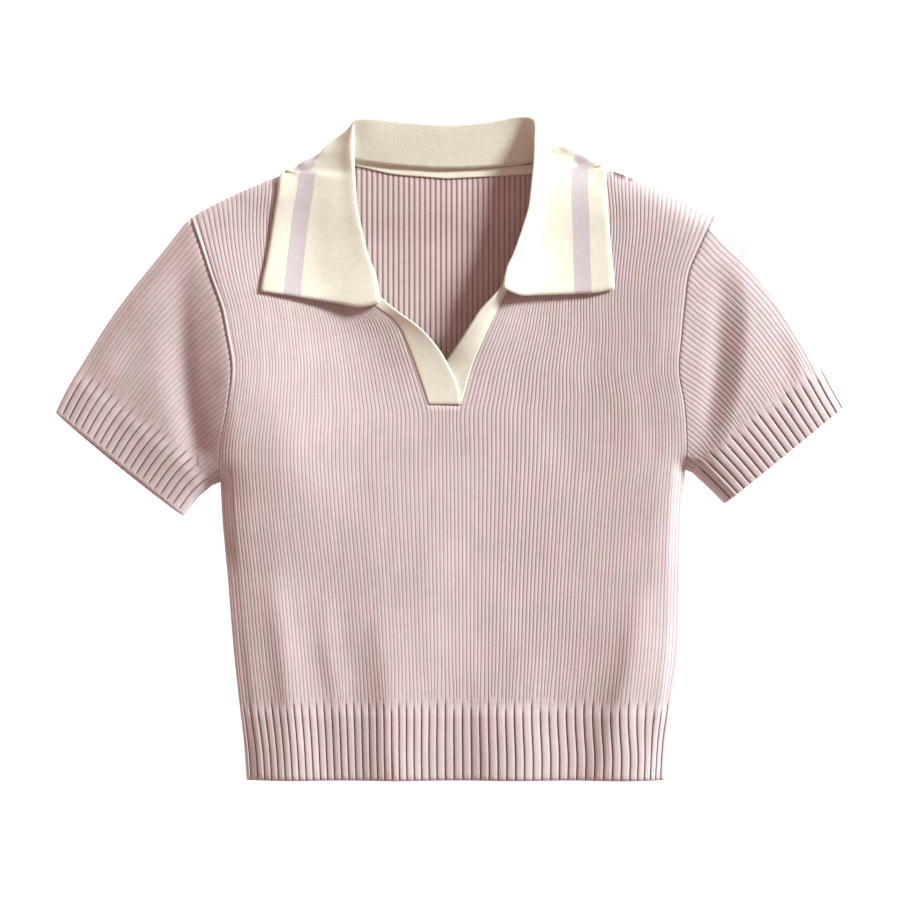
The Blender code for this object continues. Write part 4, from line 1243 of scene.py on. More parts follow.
@dataclass
class FrontPanel(Piece):
    """The front panel: a fine rib with a slit down from the neck."""

    join: RibJoin
    ribs: tuple[int, int, int] = (56, 8, 60)  # left of the slit, below it and right of it
    rows: tuple[int, int, int] = (50, 42, 7)  # below the slit's end, above it, and close to the hem band
    edge_floor: float = 2.8
    edge_radius: float = 4.0
    seam_dip: float = 0.5
    seam_ridge: Row = (1.1, 1.7, 0.9, 20.0, 80.0)  # height, distance in, width, and where it starts and is full
    seam_groove: Point = (3.5, 0.7)  # distance in, width
    depth_middle: Row = (0.8, 0.35, 60.0, 60.0)  # the grooves' depth share, how much more at an x, and half width
    depth_shoulder: Row = (0.4, 110.0, 190.0)  # how much more by the shoulders, and the heights it sets in between

    def plan(self) -> tuple[Array, int]:
        """Place the fine columns of every row.

        Returns:
            Their plan points, and the first row beside the slit.
        """
        rows, share = self.pattern.body_rows(*self.rows)
        plan = []
        left_ribs, middle_ribs, right_ribs = self.ribs
        for edges, up, fan in zip(rows, share, self.pattern.fan(rows[:, (0, 3), 1].mean(axis=1))):
            groups = []
            for start, end, ribs in ((edges[0], edges[1], left_ribs), (edges[3], edges[2], right_ribs)):
                part = np.linspace(0.0, 1.0, ribs * FINE_RIB.steps + 1)
                part = (part + fan * part * (1.0 - part))[:, None]
                groups.append(start + (end - start) * part)
            if up > 0.0:
                for group, side in zip(groups, Side):
                    part = (group[:, 0] - group[0, 0]) / (group[-1, 0] - group[0, 0])
                    group[:, 1] += smooth_step(*SHOULDER_EASE, up) * self.pattern.shoulder_rise(side, part)
            part = np.linspace(0.0, 1.0, middle_ribs * FINE_RIB.steps + 1)[1:-1, None]
            plan.append(np.concatenate([groups[0], edges[1] + (edges[2] - edges[1]) * part, groups[1][::-1]]))
        plan = np.array(plan)
        shares = self.join.fine_columns(rows[:, 0, 1] - rows[0, 0, 1])
        width = plan[:, -1:, 0] - plan[:, :1, 0]
        plan[..., 0] += (shares - np.linspace(0.0, 1.0, shares.shape[1])) * width
        return plan, self.rows[0] + self.rows[2]

    def groove_depths(self, plan: Array) -> Array:
        """How deep every groove is: deeper by the shoulders, and fading into the hem band.

        Args:
            plan: Plan points.

        Returns:
            Depth shares of the grooves of each row.
        """
        x, y = plan[:, :: FINE_RIB.steps, 0], plan[:, :: FINE_RIB.steps, 1]
        share, more, middle, half_width = self.depth_middle
        top, low, high = self.depth_shoulder
        depth = share + more * bell(x - middle, half_width) + top * smooth_step(low, high, y)
        return depth * self.join.fine_depth(y.mean(axis=1) - y[0].mean())

    def seam_heights(self, plan: Array) -> Array:
        """Rise along the armholes: a dip in each seam, and a narrow ridge inside the left one.

        Args:
            plan: Plan points.

        Returns:
            The rise at each point.
        """
        height, inside, width, low, high = self.seam_ridge
        x, y = plan[..., 0], plan[..., 1]
        near = {side: distance_to([self.pattern.armhole(side)], x, y) for side in Side}
        dip = self.seam_dip * sum(bell(distance, SEAM_WIDTH) for distance in near.values())
        behind, narrow = self.seam_groove
        ridge = height * bell(near[Side.LEFT] - inside, width)
        ridge -= self.seam_dip * bell(near[Side.LEFT] - behind, narrow)
        return ridge * smooth_step(low, high, y) - dip

    def build(self) -> Object:
        """Build the panel.

        Returns:
            The finished piece.
        """
        plan, slit_row = self.plan()
        x, y = plan[..., 0], plan[..., 1]
        breaks = np.arange(0, plan.shape[1], FINE_RIB.steps)
        under = self.surface.underside(x, y)
        depths = self.groove_depths(plan)
        outer = under + self.surface.wall + FINE_RIB.heights(depths)
        floor = self.edge_floor + self.surface.leaf_lift(x, y)
        rounded = round_off(self.surface.edge_distance(x, y), self.edge_radius)
        outer = floor + (outer - floor) * rounded + self.seam_heights(plan)
        first = self.ribs[0]
        cells = range(first, first + self.ribs[1])
        missing = [(row, cell) for row in range(slit_row, len(plan) - 1) for cell in cells]
        coordinates = rib_map(plan, FINE_RIB.steps, FINE_RIB.spread(depths))
        inner = with_height(plan[:, breaks], under[:, breaks])
        wall = ClothWall(with_height(plan, outer), inner, breaks, coordinates, missing, runs_on=(True, False))
        made = wall.build("front_cloth", self.knits(BODY_RIBS, BODY_PLAIN))
        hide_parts("front_panel")
        return made


@dataclass
class BackPanel(Piece):
    """The back panel, whose inner ribs show in the neck."""

    neck_ribs: int = 36
    side_cells: int = 14
    rows: tuple[int, int] = (20, 60)
    edge_radius: float = 3.0
    rib_pitch: float = 3.0
    ribs_from: Point = (36.0, 60.0)  # heights up the shirt between which the inner ribs set in

    def plan(self) -> Array:
        """Place the back's columns: plain ones beside the neck and ribbed ones below it.

        Returns:
            Their plan points.
        """
        rows, share = self.pattern.body_rows(*self.rows)
        neck_left, neck_right = self.pattern.back_neck[0][0], self.pattern.back_neck[-1][0]
        x = np.linspace(neck_left, neck_right, self.neck_ribs * INNER_RIB.steps + 1)
        slit_y = self.pattern.slit_end[0][1]
        across = np.linspace(0.0, 1.0, self.side_cells + 1)[:-1, None]
        tops = [self.pattern.shoulder_line(side) for side in Side]
        plan = []
        for edges, up in zip(rows, share):
            left, right = edges[0], edges[3]
            level = left[1] + (right[1] - left[1]) * (x - left[0]) / (right[0] - left[0])
            y = slit_y + (self.pattern.back_neck_y(x) - slit_y) * up if up > 0.0 else level
            neck = np.stack([x, y], axis=-1)
            ends = [left + (neck[0] - left) * across, right + (neck[-1] - right) * across]
            if up > 0.0:
                eased = float(smooth_step(*SHOULDER_EASE, up))
                for part, top in zip(ends, tops):
                    straight = top[0] + (top[-1] - top[0]) * across
                    part += eased * (along(top, across[:, 0]) - straight)
            plan.append(np.concatenate([ends[0], neck, ends[1][::-1]]))
        return np.array(plan)

    def build(self) -> Object:
        """Build the panel.

        Returns:
            The finished piece.
        """
        plan = self.plan()
        side = np.arange(self.side_cells)
        neck_breaks = self.side_cells + INNER_RIB.steps * np.arange(self.neck_ribs + 1)
        breaks = np.concatenate([side, neck_breaks, neck_breaks[-1] + 1 + side])
        x, y = plan[..., 0], plan[..., 1]
        under = self.surface.leaf_lift(x, y)
        plain = np.zeros(self.side_cells)
        ribs = np.concatenate([plain, INNER_RIB.heights(np.ones(self.neck_ribs + 1)), plain])
        shown = smooth_step(*self.ribs_from, y)
        top = under + self.surface.wall + ribs * shown
        below = under + UNDER_LIFT * (1.0 - round_off(self.surface.edge_distance(x, y), self.edge_radius))
        coordinates = rib_map(plan, INNER_RIB.steps)
        coordinates[..., 0] = np.where(shown > 0.0, coordinates[..., 0], x / self.rib_pitch)
        wall = ClothWall(with_height(plan, top), with_height(plan[:, breaks], below[:, breaks]), breaks, coordinates)
        made = wall.build("back_cloth", self.knits(INSIDE_RIBS, BODY_PLAIN))
        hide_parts("back_panel")
        return made


@dataclass
class HemBand(Piece):
    """The waistband of broad ribs, in its front and back halves."""

    join: RibJoin
    rows: tuple[int, int, float] = (30, 12, 0.22)  # in all, close to the join, and the share these cover
    wall: float = 2.2
    edge_floor: float = 2.9
    edge_radius: float = 3.5
    hem_radius: float = 1.6
    hem_drop: float = 0.9
    lower_widths: tuple[Point, ...] = (
        (0, 0.6), (1, 1), (2, 0.92), (25, 1), (28, 1.18), (48, 1.18), (50, 0.92), (52, 0.74),
        (54, 0.65),
    )

    def plan(self) -> Array:
        """Place the fine columns of the band.

        Returns:
            Their plan points, from the lower edge up.
        """
        table = np.array(self.pattern.hem_rows)[::-1]
        count, close, reach = self.rows
        y = table[0, 0] + (table[-1, 0] - table[0, 0]) * spaced(count, close, reach, close_at_end=True)
        sides = smooth_through(table[:, 0], table[:, 1:], y)
        share = self.join.columns(y[-1] - y, self.join.grooves(self.lower_widths))
        x = sides[:, :1] + (sides[:, 1:] - sides[:, :1]) * share
        return np.stack([x, np.broadcast_to(y[:, None], x.shape)], axis=-1)

    def build(self) -> list[Object]:
        """Build both halves.

        Returns:
            The front and the back half.
        """
        plan = self.plan()
        x, y = plan[..., 0], plan[..., 1]
        breaks = np.arange(0, plan.shape[1], BROAD_RIB.steps)
        under = self.surface.underside(x, y)
        below = y[-1, 0] - y[:, 0]
        depths = self.join.broad_depth(below)
        rounded = round_off(self.surface.edge_distance(x, y), self.edge_radius)
        outer = under + self.wall + self.join.broad_heights(below, depths)
        outer = self.edge_floor + (outer - self.edge_floor) * rounded
        outer -= self.hem_drop * (1.0 - round_off(y - y[0, 0], self.hem_radius))
        coordinates = rib_map(plan, BROAD_RIB.steps, BROAD_RIB.spread(depths))
        inner = with_height(plan[:, breaks], under[:, breaks])
        wall = ClothWall(with_height(plan, outer), inner, breaks, coordinates, runs_on=(False, True))
        front = wall.build("hem_band_front_cloth", self.knits(BAND_RIBS, BAND_PLAIN))
        coarse = plan[:, breaks]
        edge = self.surface.edge_distance(coarse[..., 0], coarse[..., 1])
        below = UNDER_LIFT * (1.0 - round_off(edge, self.edge_radius))
        top = np.full(below.shape, self.surface.wall)
        lower, lower_map = with_height(coarse, below), coordinates[:, breaks]
        wall = ClothWall(with_height(coarse, top), lower, range(len(breaks)), lower_map)
        back = wall.build("hem_band_back_cloth", self.knits(BAND_PLAIN, BAND_PLAIN))
        halves = ((front, "hem_band_front", "hem_band_back_cloth"), (back, "hem_band_back", "floor"))
        for piece, node, under_it in halves:
            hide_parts(node)
        return [front, back]


@dataclass(frozen=True)
class TubeEnds:
    """How a tube of cloth starts and ends."""

    runs_on: tuple[bool, bool]
    seam_dip: float = 0.0
    round_radius: float = 0.0
    round_drop: float = 0.8
    lower_reach: float = 0.0  # how far the lower layer shows past the upper one
    scallop: float = 0.0  # how far the grooves draw the end in


@dataclass
class Tube:
    """A tube of cloth laid flat, with a raised upper half and a flat lower one."""

    surface: LaidSurface
    profile: RibProfile
    wall: float
    edge_inset: float = 3.0
    low_inset: float = 0.35  # the lower layer's first point in from the side, as a share of the inset
    low_lift: float = 0.55  # and its height
    edge_radius: float = 3.6
    lower_wall: float = 1.95
    bow_power: float = 0.7

    @staticmethod
    def coons(
        start: Array, end: Array, over: Array, under: Array, columns: int, down: Array
    ) -> Array:
        """Plan points that fill four edges.

        Args:
            start: First edge, from over to under.
            end: Last edge, from over to under.
            over: Upper side, from start to end.
            under: Lower side, from start to end.
            columns: Fine columns across.
            down: Share of the way from start to end of each row.

        Returns:
            Rows by columns of plan points.
        """
        across = np.linspace(0.0, 1.0, columns + 1)
        s, t = across[None, :, None], down[:, None, None]
        first, last = along(start, across)[None], along(end, across)[None]
        one, other = along(over, down)[:, None], along(under, down)[:, None]
        corners = (1 - t) * ((1 - s) * start[0] + s * start[-1]) + t * ((1 - s) * end[0] + s * end[-1])
        return (1 - t) * first + t * last + (1 - s) * one + s * other - corners

    @staticmethod
    def inset(plan: Array, distance: float) -> list[Array]:
        """For each row of plan points, the points this far in from its first and from its last."""
        shares = distance / step_lengths(plan, 1).sum(axis=1)
        return [along_rows(plan, shares), along_rows(plan[:, ::-1], shares)]

    def bow_out(self, grid: Array, reach: float) -> None:
        """Draw the last row of a grid onward by the reach at its middle, and less towards its ends."""
        bow = np.sin(np.pi * np.linspace(0.0, 1.0, grid.shape[1]))[:, None] ** self.bow_power
        grid[-1] += unit(grid[-1] - grid[-2]) * reach * bow

    def build(
        self, plan: Array, rise: Array, depths: Array, name: str, materials: Sequence[Material], ends: TubeEnds
    ) -> Object:
        """Build the tube round its plan.

        Args:
            plan: Rows by fine columns of plan points.
            rise: Rise of the ribs above the wall at each plan point.
            depths: Depth share of every groove of each row.
            name: The object's name.
            materials: Materials of the ribbed and the plain faces.
            ends: How the tube starts and ends.

        Returns:
            The finished tube.
        """
        fine, steps = plan.shape[1] - 1, self.profile.steps
        ribs = fine // steps
        breaks = np.arange(0, fine + 1, steps)
        cloth = self.surface.wall + self.surface.layer_gap / 2
        under = self.surface.underside(plan[..., 0], plan[..., 1])
        width = running(step_lengths(plan, 1), 1)
        from_side = np.minimum(width, width[:, -1:] - width)
        rounded = round_off(from_side, self.edge_radius)
        full = under + self.wall + rise
        top = cloth + (full - cloth) * rounded
        length = lengths_of(plan)
        top -= ends.seam_dip * bell(length[:, None], SEAM_WIDTH) * rounded
        if ends.round_radius:
            top -= ends.round_drop * (1.0 - round_off(length[-1] - length, ends.round_radius))[:, None] * rounded
        inset, deeper = self.inset(plan, self.edge_inset), self.inset(plan, 2 * self.edge_inset)
        middle = plan[:, breaks][:, 1:-1]
        side_low = self.inset(plan, self.edge_inset * self.low_inset)
        low_plan = [side_low[1][:, None], inset[1][:, None], middle[:, ::-1], inset[0][:, None], side_low[0][:, None]]
        below = np.concatenate(low_plan, axis=1)
        low_height = np.zeros(below.shape[:2])
        low_height[:, [0, -1]] = self.low_lift
        self.bow_out(below, ends.lower_reach)
        if ends.scallop:
            drawn_in = unit(plan[-1] - plan[-2]) * ends.scallop
            plan = plan.copy()
            plan[-1] -= drawn_in * (1.0 - rise[-1] / rise[-1].max())[:, None]
        outer = np.concatenate([with_height(plan, top), with_height(below, low_height)], axis=1)
        corner = [with_height(point, np.full(len(plan), cloth)) for point in inset]
        inner_top = with_height(middle, under[:, breaks][:, 1:-1])
        first, last = ((near[:, None] * 0.5 + far[:, None] * 0.5, far[:, None]) for near, far in zip(inset, deeper))
        lower = np.concatenate([*last, middle[:, ::-1], *first[::-1]], axis=1)
        self.bow_out(lower, ends.lower_reach)
        inner_low = with_height(lower, np.full(lower.shape[:2], self.lower_wall))
        inner = np.concatenate([corner[0][:, None], inner_top, corner[1][:, None], inner_low], axis=1)
        loop = np.concatenate([breaks, fine + 1 + np.arange(below.shape[1] + 1)])
        upper_map = rib_map(plan, steps, self.profile.spread(depths))
        across = np.concatenate([[0.1, 0.4], np.arange(1, ribs), [ribs - 0.4, ribs - 0.1]]) + ribs
        parts = [across, length[:, None], 1.0]
        lower_map = np.stack([np.broadcast_to(part, below.shape[:2]) for part in parts], axis=-1)
        coordinates = np.concatenate([upper_map, lower_map, upper_map[:, :1]], axis=1)
        wall = ClothWall(outer, inner, loop, coordinates, closed=True, ribbed_cells=ribs, runs_on=ends.runs_on)
        return wall.build(name, materials)


@dataclass
class SleevePart(Piece):
    """A tube of cloth that a sleeve is made of."""

    side: Side
    join: RibJoin

    def plan(self, edges: Sequence[Array], columns: int, down: Array) -> Array:
        """Plan points that fill the part's start, end, upper and lower edge, with the first column at the left."""
        plan = Tube.coons(*edges, columns, down)
        return plan[:, ::-1] if self.side is Side.LEFT else plan

    def finish(self, made: Object, plan: Array, name: str, slot: str) -> Object:
        """Hide the imported part that the finished tube replaces.

        Args:
            made: The tube.
            plan: Its plan points; not used.
            name: The node that it replaces.
            slot: A slot name, which is not used.

        Returns:
            The tube.
        """
        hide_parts(name)
        return made


@dataclass
class Sleeve(SleevePart):
    """A short sleeve from its armhole to the cuff."""

    rows: tuple[int, int, float] = (58, 8, 0.055)
    depth: Point = (0.7, 0.8)

    def build(self) -> Object:
        """Build the sleeve.

        Returns:
            The finished piece.
        """
        cut = self.pattern.sleeve(self.side)
        start, end = self.pattern.armhole(self.side), smooth_line(cut.cuff_line, 40)
        over = smooth_line((tuple(start[0]),) + cut.over[1:], 50)
        under = np.array([start[-1], end[-1]])
        down = spaced(*self.rows, close_at_end=True)
        plan = self.plan((start, end, over, under), self.join.fine * FINE_RIB.steps, down)
        name = f"sleeve_{self.side.value}"
        length = lengths_of(plan)
        shares = self.join.fine_columns(length[-1] - length)
        plan = along_rows(plan, shares)
        depths = self.depth[list(Side).index(self.side)] * self.join.fine_depth(length[-1] - length)
        tube = Tube(self.surface, FINE_RIB, self.surface.wall)
        materials = self.knits(BODY_RIBS, BODY_PLAIN)
        ends = TubeEnds((False, True), seam_dip=0.5)
        made = tube.build(plan, FINE_RIB.heights(depths), depths, name + "_cloth", materials, ends)
        return self.finish(made, plan, name, "body_knit")


@dataclass
class Cuff(SleevePart):
    """A cuff of broad ribs at the end of a sleeve."""

    ends: TubeEnds
    border: float = 0.0  # how far from the end the ribs are smoothed away
    border_ease: float = 1.0
    rows: tuple[int, int, float] = (34, 14, 0.35)
    wall: float = 2.2

    def build(self) -> Object:
        """Build the cuff.

        Returns:
            The finished piece.
        """
        cut = self.pattern.sleeve(self.side)
        start = smooth_line(cut.cuff_line, 40)
        over = smooth_line((tuple(start[0]),) + cut.cuff_over[1:], 12)
        under = smooth_line((tuple(start[-1]),) + cut.cuff_under[1:], 12)
        end = np.array([over[-1], under[-1]])
        plan = self.plan((start, end, over, under), self.join.broad * BROAD_RIB.steps, spaced(*self.rows))
        below = lengths_of(plan)
        shares = self.join.columns(below, self.join.grooves())
        plan = along_rows(plan, shares)
        depths = self.join.broad_depth(below)
        if self.border:
            to_end = (below[-1] - below)[:, None]
            depths = depths * smooth_step(self.border - self.border_ease, self.border + self.border_ease, to_end)
        name = f"cuff_{self.side.value}"
        tube = Tube(self.surface, BROAD_RIB, self.wall)
        materials = self.knits(BAND_RIBS, BAND_PLAIN)
        made = tube.build(plan, self.join.broad_heights(below, depths), depths, name + "_cloth", materials, self.ends)
        return self.finish(made, plan, name, "band_knit")


@dataclass
class Collar(Piece):
    """The collar: stand, fold and leaf in one flat knit with a stripe along its outer edge."""

    thickness: float = 1.7
    leaf_steps: int = 6
    fold_steps: int = 4
    fold_reach: float = 6.0
    fold_limit: float = 0.45  # the most of the way to the next point that the fold's bend takes
    rib_room: float = 0.7
    clearance: float = 0.8
    least_clearance: float = 0.5
    wrap_fall: Point = (18.0, 50.0)  # widths of a wrap between which it comes to fall as the leaf does
    front_lift: float = 5.0  # how far the leaf's front edge stands off the front
    stripe_shift: Point = (3.6, 75.0)  # how much further in the stripe lies at the ends, and over what length
    leaf_falls: Point = (2.2, 12.0)  # how soon the left leaf and the right one come down from the fold
    edge_drop: Point = (1.3, 9.0)  # how far the leaf comes down at the shoulder's edge, and over what reach
    wrap_depth: float = 3.2
    lowest_top: float = 6.2  # above this height the leaf is on top of the shirt
    lowest: float = 0.9  # the lowest middle of the hidden leaf's wall
    dip_start: float = 0.12
    end_rows: float = 1.5
    dips: tuple[Point, Point] = ((6.5, 1.2), (5.2, 0.25))  # how far each front edge dips, and how soon that fades
    edge_taper: Point = (0.25, 1.5)  # share of the thickness at the edges, and how far in it is full
    rows_per_section: int = 6
    steps_per_column: int = 5
    sections: tuple[Row, ...] = (  # x, y, z of seam, fold and edge, then of the turn and its column
        (-58.5, 121, 11.2, -57.8, 119.6, 18, -154.3, 128.9, 0),
        (-63, 137, 11, -60.8, 141, 17.2, -152.8, 139.5, 0),
        (-71.5, 154, 10.8, -67, 158, 17, -150.2, 152, 0),
        (-76.2, 172, 10.8, -71, 174, 17, -147.2, 170, 0),
        (-82, 196, 10.6, -75.9, 196, 17, -143.6, 194, 0),
        (-81.8, 210, 10.4, -77.2, 210, 17, -140.8, 210, 0),
        (-81.6, 220, 10, -78, 221, 16.8, -138.4, 225.8, 9),
        (-81.3, 226, 9.6, -78.6, 228, 16.6, -132.5, 223.6, 0.9, -134.2, 228.4, 8.6, 5),
        (-80.8, 233, 8.8, -79.2, 238, 16.4, -121.4, 221.5, 0.9, -120.5, 235, 8.8, 4),
        (-80.3, 240, 8, -79.5, 249, 16.4, -110, 215.5, 0.9, -104.6, 244, 9.2, 3),
        (-79.4, 237.8, 7.6, -78.5, 266.5, 16.4, -96, 206, 0.9, -88.8, 256.6, 4.4, 3),
        (-68, 234.6, 7.4, -66, 269.6, 17.5, -72, 205, 0.9, -68.5, 256, 1.7, 3),
        (-36, 231, 7.2, -35, 266.8, 15, -36, 204.5, 0.9, -36, 251, 1.5, 3),
        (-3, 229.4, 7.2, -3, 264.8, 14.5, -3, 205, 0.9, -3, 249, 1.5, 3),
        (30, 230.6, 7.2, 29, 266.6, 15, 30, 205, 0.9, 30, 251, 1.5, 3),
        (60, 233.8, 7.4, 57, 271, 18, 63, 206, 0.9, 60, 257, 1.7, 3),
        (70.4, 236.8, 7.6, 68.5, 267.5, 23.5, 86, 208, 0.9, 79, 257.6, 4, 3),
        (72.2, 247, 8, 69, 251, 26.5, 99.5, 220.5, 0.9, 95.5, 247.6, 11, 3),
        (72.8, 240, 8.8, 68.8, 241, 29.5, 112, 226.5, 0.9, 110.8, 239.8, 10.2, 4),
        (72.8, 231, 9.6, 68, 230, 30, 122.5, 228.3, 0.9, 123.6, 233.3, 9.6, 5),
        (72.8, 222, 10, 67, 221, 30, 127.8, 231.2, 9.4),
        (72.8, 211, 11, 65.9, 210, 30, 128, 216, 0),
        (72.6, 197, 12, 64.3, 197, 30.5, 128.8, 197, 0),
        (65.4, 172, 12.5, 57, 173, 32.5, 131, 173, 0),
        (60, 156, 12.5, 51.5, 158, 34, 132.4, 157, 0),
        (53, 143, 12.5, 46.5, 147, 34.5, 133.8, 144, 0),
        (46, 131, 13, 43.4, 130.5, 33.5, 134.5, 131.6, 0),
    )

    def floor(self, x: Array, y: Array) -> Array:
        """The middle of the collar's wall where it lies on the front.

        Args:
            x: Places across.
            y: Places up the shirt.

        Returns:
            Its height.
        """
        lying = self.surface.wall + self.rib_room + self.surface.layer_gap + self.thickness / 2 + self.clearance
        drop, reach = self.edge_drop
        dropped = drop * (1.0 - round_off(self.surface.edge_distance(x, y), reach))
        return self.surface.underside(x, y) + lying - dropped

    def section(self, row: Row, front_end: float) -> Array:
        """The middle of the wall along one section, from the neck seam over the fold to the outer edge.

        Args:
            row: The section's row of the table.
            front_end: 1 at the leaf's front edge, which dips towards the hem, and 0 away from it.

        Returns:
            One point for each column.
        """
        seam, fold, edge, turn = (np.array(row[i : i + 3], float) for i in (0, 3, 6, 9))
        column, side = int(row[12]) if len(row) > 12 else 0, int(fold[0] >= 0.0)
        dip, fade = self.dips[side]
        if column:
            shares = np.linspace(0, 1, column + 1)[1:]
            before = [fold + (turn - fold) * share for share in shares]
            across = np.linalg.norm((turn - fold)[:2])
            fall = 1.0 + (self.leaf_falls[side] - 1.0) * float(smooth_step(*self.wrap_fall, across))
            for share, point in zip(shares, before):
                point[2] = turn[2] + (fold[2] - turn[2]) * (1.0 - share) ** fall
                if share < 1.0 and self.surface.below_shoulders(point[0], point[1]) > 0.0:
                    point[2] = max(point[2], float(self.floor(point[0], point[1])))
            away = (edge - turn) * (1, 1, 0)
            under = turn + away * self.wrap_depth / max(np.linalg.norm(away), self.wrap_depth)
            under[2] = edge[2]
            count = self.leaf_steps - column
            after = [under + (edge - under) * share for share in np.linspace(0, 1, count)] if count > 1 else [edge]
            leaf = before + after
        else:
            leaf = []
            for share in np.linspace(0, 1, self.leaf_steps + 1)[1:]:
                point = fold + (edge - fold) * share
                point[1] -= front_end * dip * smooth_step(0.0, self.dip_start, share) * (1 - share) ** fade
                floor = self.floor(point[0], point[1]) if edge[2] == 0.0 or share < 1 else edge[2]
                floor = floor + self.front_lift * front_end * (1.0 - share)
                point[2] = floor + (fold[2] - floor) * (1 - share) ** self.leaf_falls[side]
                leaf.append(point)
        to_seam = (seam - fold) / np.linalg.norm(seam - fold)
        to_leaf = (leaf[0] - fold) / np.linalg.norm(leaf[0] - fold)
        limit = self.fold_limit * min(np.linalg.norm(seam - fold), np.linalg.norm(leaf[0] - fold))
        reach = min(self.fold_reach, limit)
        tip = fold - reach / self.fold_steps * (to_seam + to_leaf)
        start, end = tip + reach * to_seam, tip + reach * to_leaf
        bend = np.linspace(0.0, 1.0, self.fold_steps + 1)
        arc = [(1 - u) ** 2 * start + 2 * u * (1 - u) * tip + u * u * end for u in bend]
        return np.array([seam, (seam + start) / 2] + arc + leaf)

    def grid(self) -> Array:
        """Lay a smooth grid through the sections, in the middle of the collar's wall.

        Returns:
            Rows along the neck by columns from the seam to the edge.
        """
        last = len(self.sections) - 1
        ends = [max(0.0, 1.0 - min(i, last - i) / self.end_rows) for i in range(last + 1)]
        rough = np.array([self.section(row, end) for row, end in zip(self.sections, ends)])
        columns = np.arange((rough.shape[1] - 1) * self.steps_per_column + 1) / self.steps_per_column
        across = []
        for points in rough:
            knots = running(step_lengths(points) ** 0.5)
            across.append(smooth_through(knots, points, np.interp(columns, np.arange(len(points)), knots)))
        across = np.array(across)
        knots = running(step_lengths(across).mean(axis=1) ** 0.5)
        rows = np.arange(last * self.rows_per_section + 1) / self.rows_per_section
        return smooth_through(knots, across, np.interp(rows, np.arange(last + 1), knots))

    def build(self) -> Object:
        """Build the collar.

        Returns:
            The finished piece.
        """
        grid = self.grid()
        first_leaf = (self.fold_steps + 2) * self.steps_per_column
        x, y, z = np.moveaxis(grid[:, first_leaf:], -1, 0)
        floor = self.floor(x, y) - (self.clearance - self.least_clearance)
        lying = (z > self.lowest_top) & (self.surface.below_shoulders(x, y) > 1.0)
        grid[:, first_leaf:, 2] = np.where(lying, np.maximum(z, floor), z)
        grid[..., 2] = np.maximum(grid[..., 2], self.lowest)
        total = running(step_lengths(grid, 1), 1)
        from_edge = total[:, -1:] - total
        length = np.broadcast_to(lengths_of(grid)[:, None], from_edge.shape)
        ends = np.minimum(length, length.max() - length)
        shift, reach = self.stripe_shift
        coordinates = np.stack([from_edge - shift * (1.0 - smooth_step(0.0, reach, ends)), length], axis=-1)
        least, full = self.edge_taper
        taper = least + (1.0 - least) * round_off(from_edge, full) * round_off(ends, full)
        made = sheet_wall(grid, self.thickness, coordinates, "collar_cloth", self.knits(COLLAR_KNIT), taper)
        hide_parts("collar")
        return made


@dataclass
class Placket(Piece):
    """A placket strip between its seam on the front and its free edge."""

    side: Side
    rows: tuple[Row, ...]  # seam x, y, free edge x, y, z
    thickness: float = 1.6
    dense_rows: int = 56
    columns: int = 20
    seam_rise: float = 0.3
    edge_taper: Point = (0.3, 1.4)  # share of the thickness at the edges, and how far in it is full
    seam_taper: Point = (0.2, 1.2)  # the same beside the seam, from a little behind it

    def build(self) -> Object:
        """Build the strip.

        Returns:
            The finished piece.
        """
        table = np.array(self.rows)
        seam_z = self.surface.underside(table[:, 0], table[:, 1]) + self.surface.wall + self.seam_rise
        seam = np.concatenate([table[:, :2], seam_z[:, None]], axis=1)
        sides = np.stack([seam, table[:, 2:]], axis=1)
        knots = running(step_lengths(sides.mean(axis=1)))
        sides = smooth_through(knots, sides, np.linspace(0.0, knots[-1], self.dense_rows))
        share = np.linspace(0.0, 1.0, self.columns + 1)[None, :, None]
        grid = sides[:, :1] + (sides[:, 1:] - sides[:, :1]) * share
        across = running(step_lengths(grid, 1), 1)
        length = np.broadcast_to(lengths_of(grid)[:, None], across.shape)
        (least, full), (behind, seam_full) = self.edge_taper, self.seam_taper
        rounded = round_off(across[:, -1:] - across, full) * round_off(length, full)
        taper = least + (1.0 - least) * rounded * round_off(across + behind, seam_full)
        name = f"placket_{self.side.value}"
        coordinates = np.stack([across, length], axis=-1)
        made = sheet_wall(grid, self.thickness, coordinates, name + "_cloth", self.knits(PLACKET_KNIT), taper)
        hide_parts(name)
        return made


OVER_PLACKET: tuple[Row, ...] = (  # seam x, y, free edge x, y, z
    (-17.6, 37, 8.2, 37, 7.6), (-20.4, 46, 8, 46, 8),
    (-28.6, 70, -1.5, 70, 10), (-34.2, 85.5, -10.5, 84.5, 12.4),
    (-41.2, 101, -26.5, 101.5, 15.5), (-48.6, 109.4, -40, 111.2, 16.4),
    (-56.2, 114.4, -50.6, 119.6, 15.4), (-64, 120, -58.6, 127, 12.6),
)
UNDER_PLACKET: tuple[Row, ...] = (  # seam x, y, free edge x, y, z
    (9.2, 37, -15, 37, 3.5), (11.8, 46, -13, 46, 3.7),
    (18.8, 70, -5, 69.5, 5.4), (25.6, 86.5, 5.5, 85, 14.5),
    (32.8, 103, 16, 101, 23.5), (38, 114, 24.5, 113.5, 29),
    (44.2, 126, 38.6, 128.4, 31), (49.5, 136, 45.5, 138.5, 27.5),
)


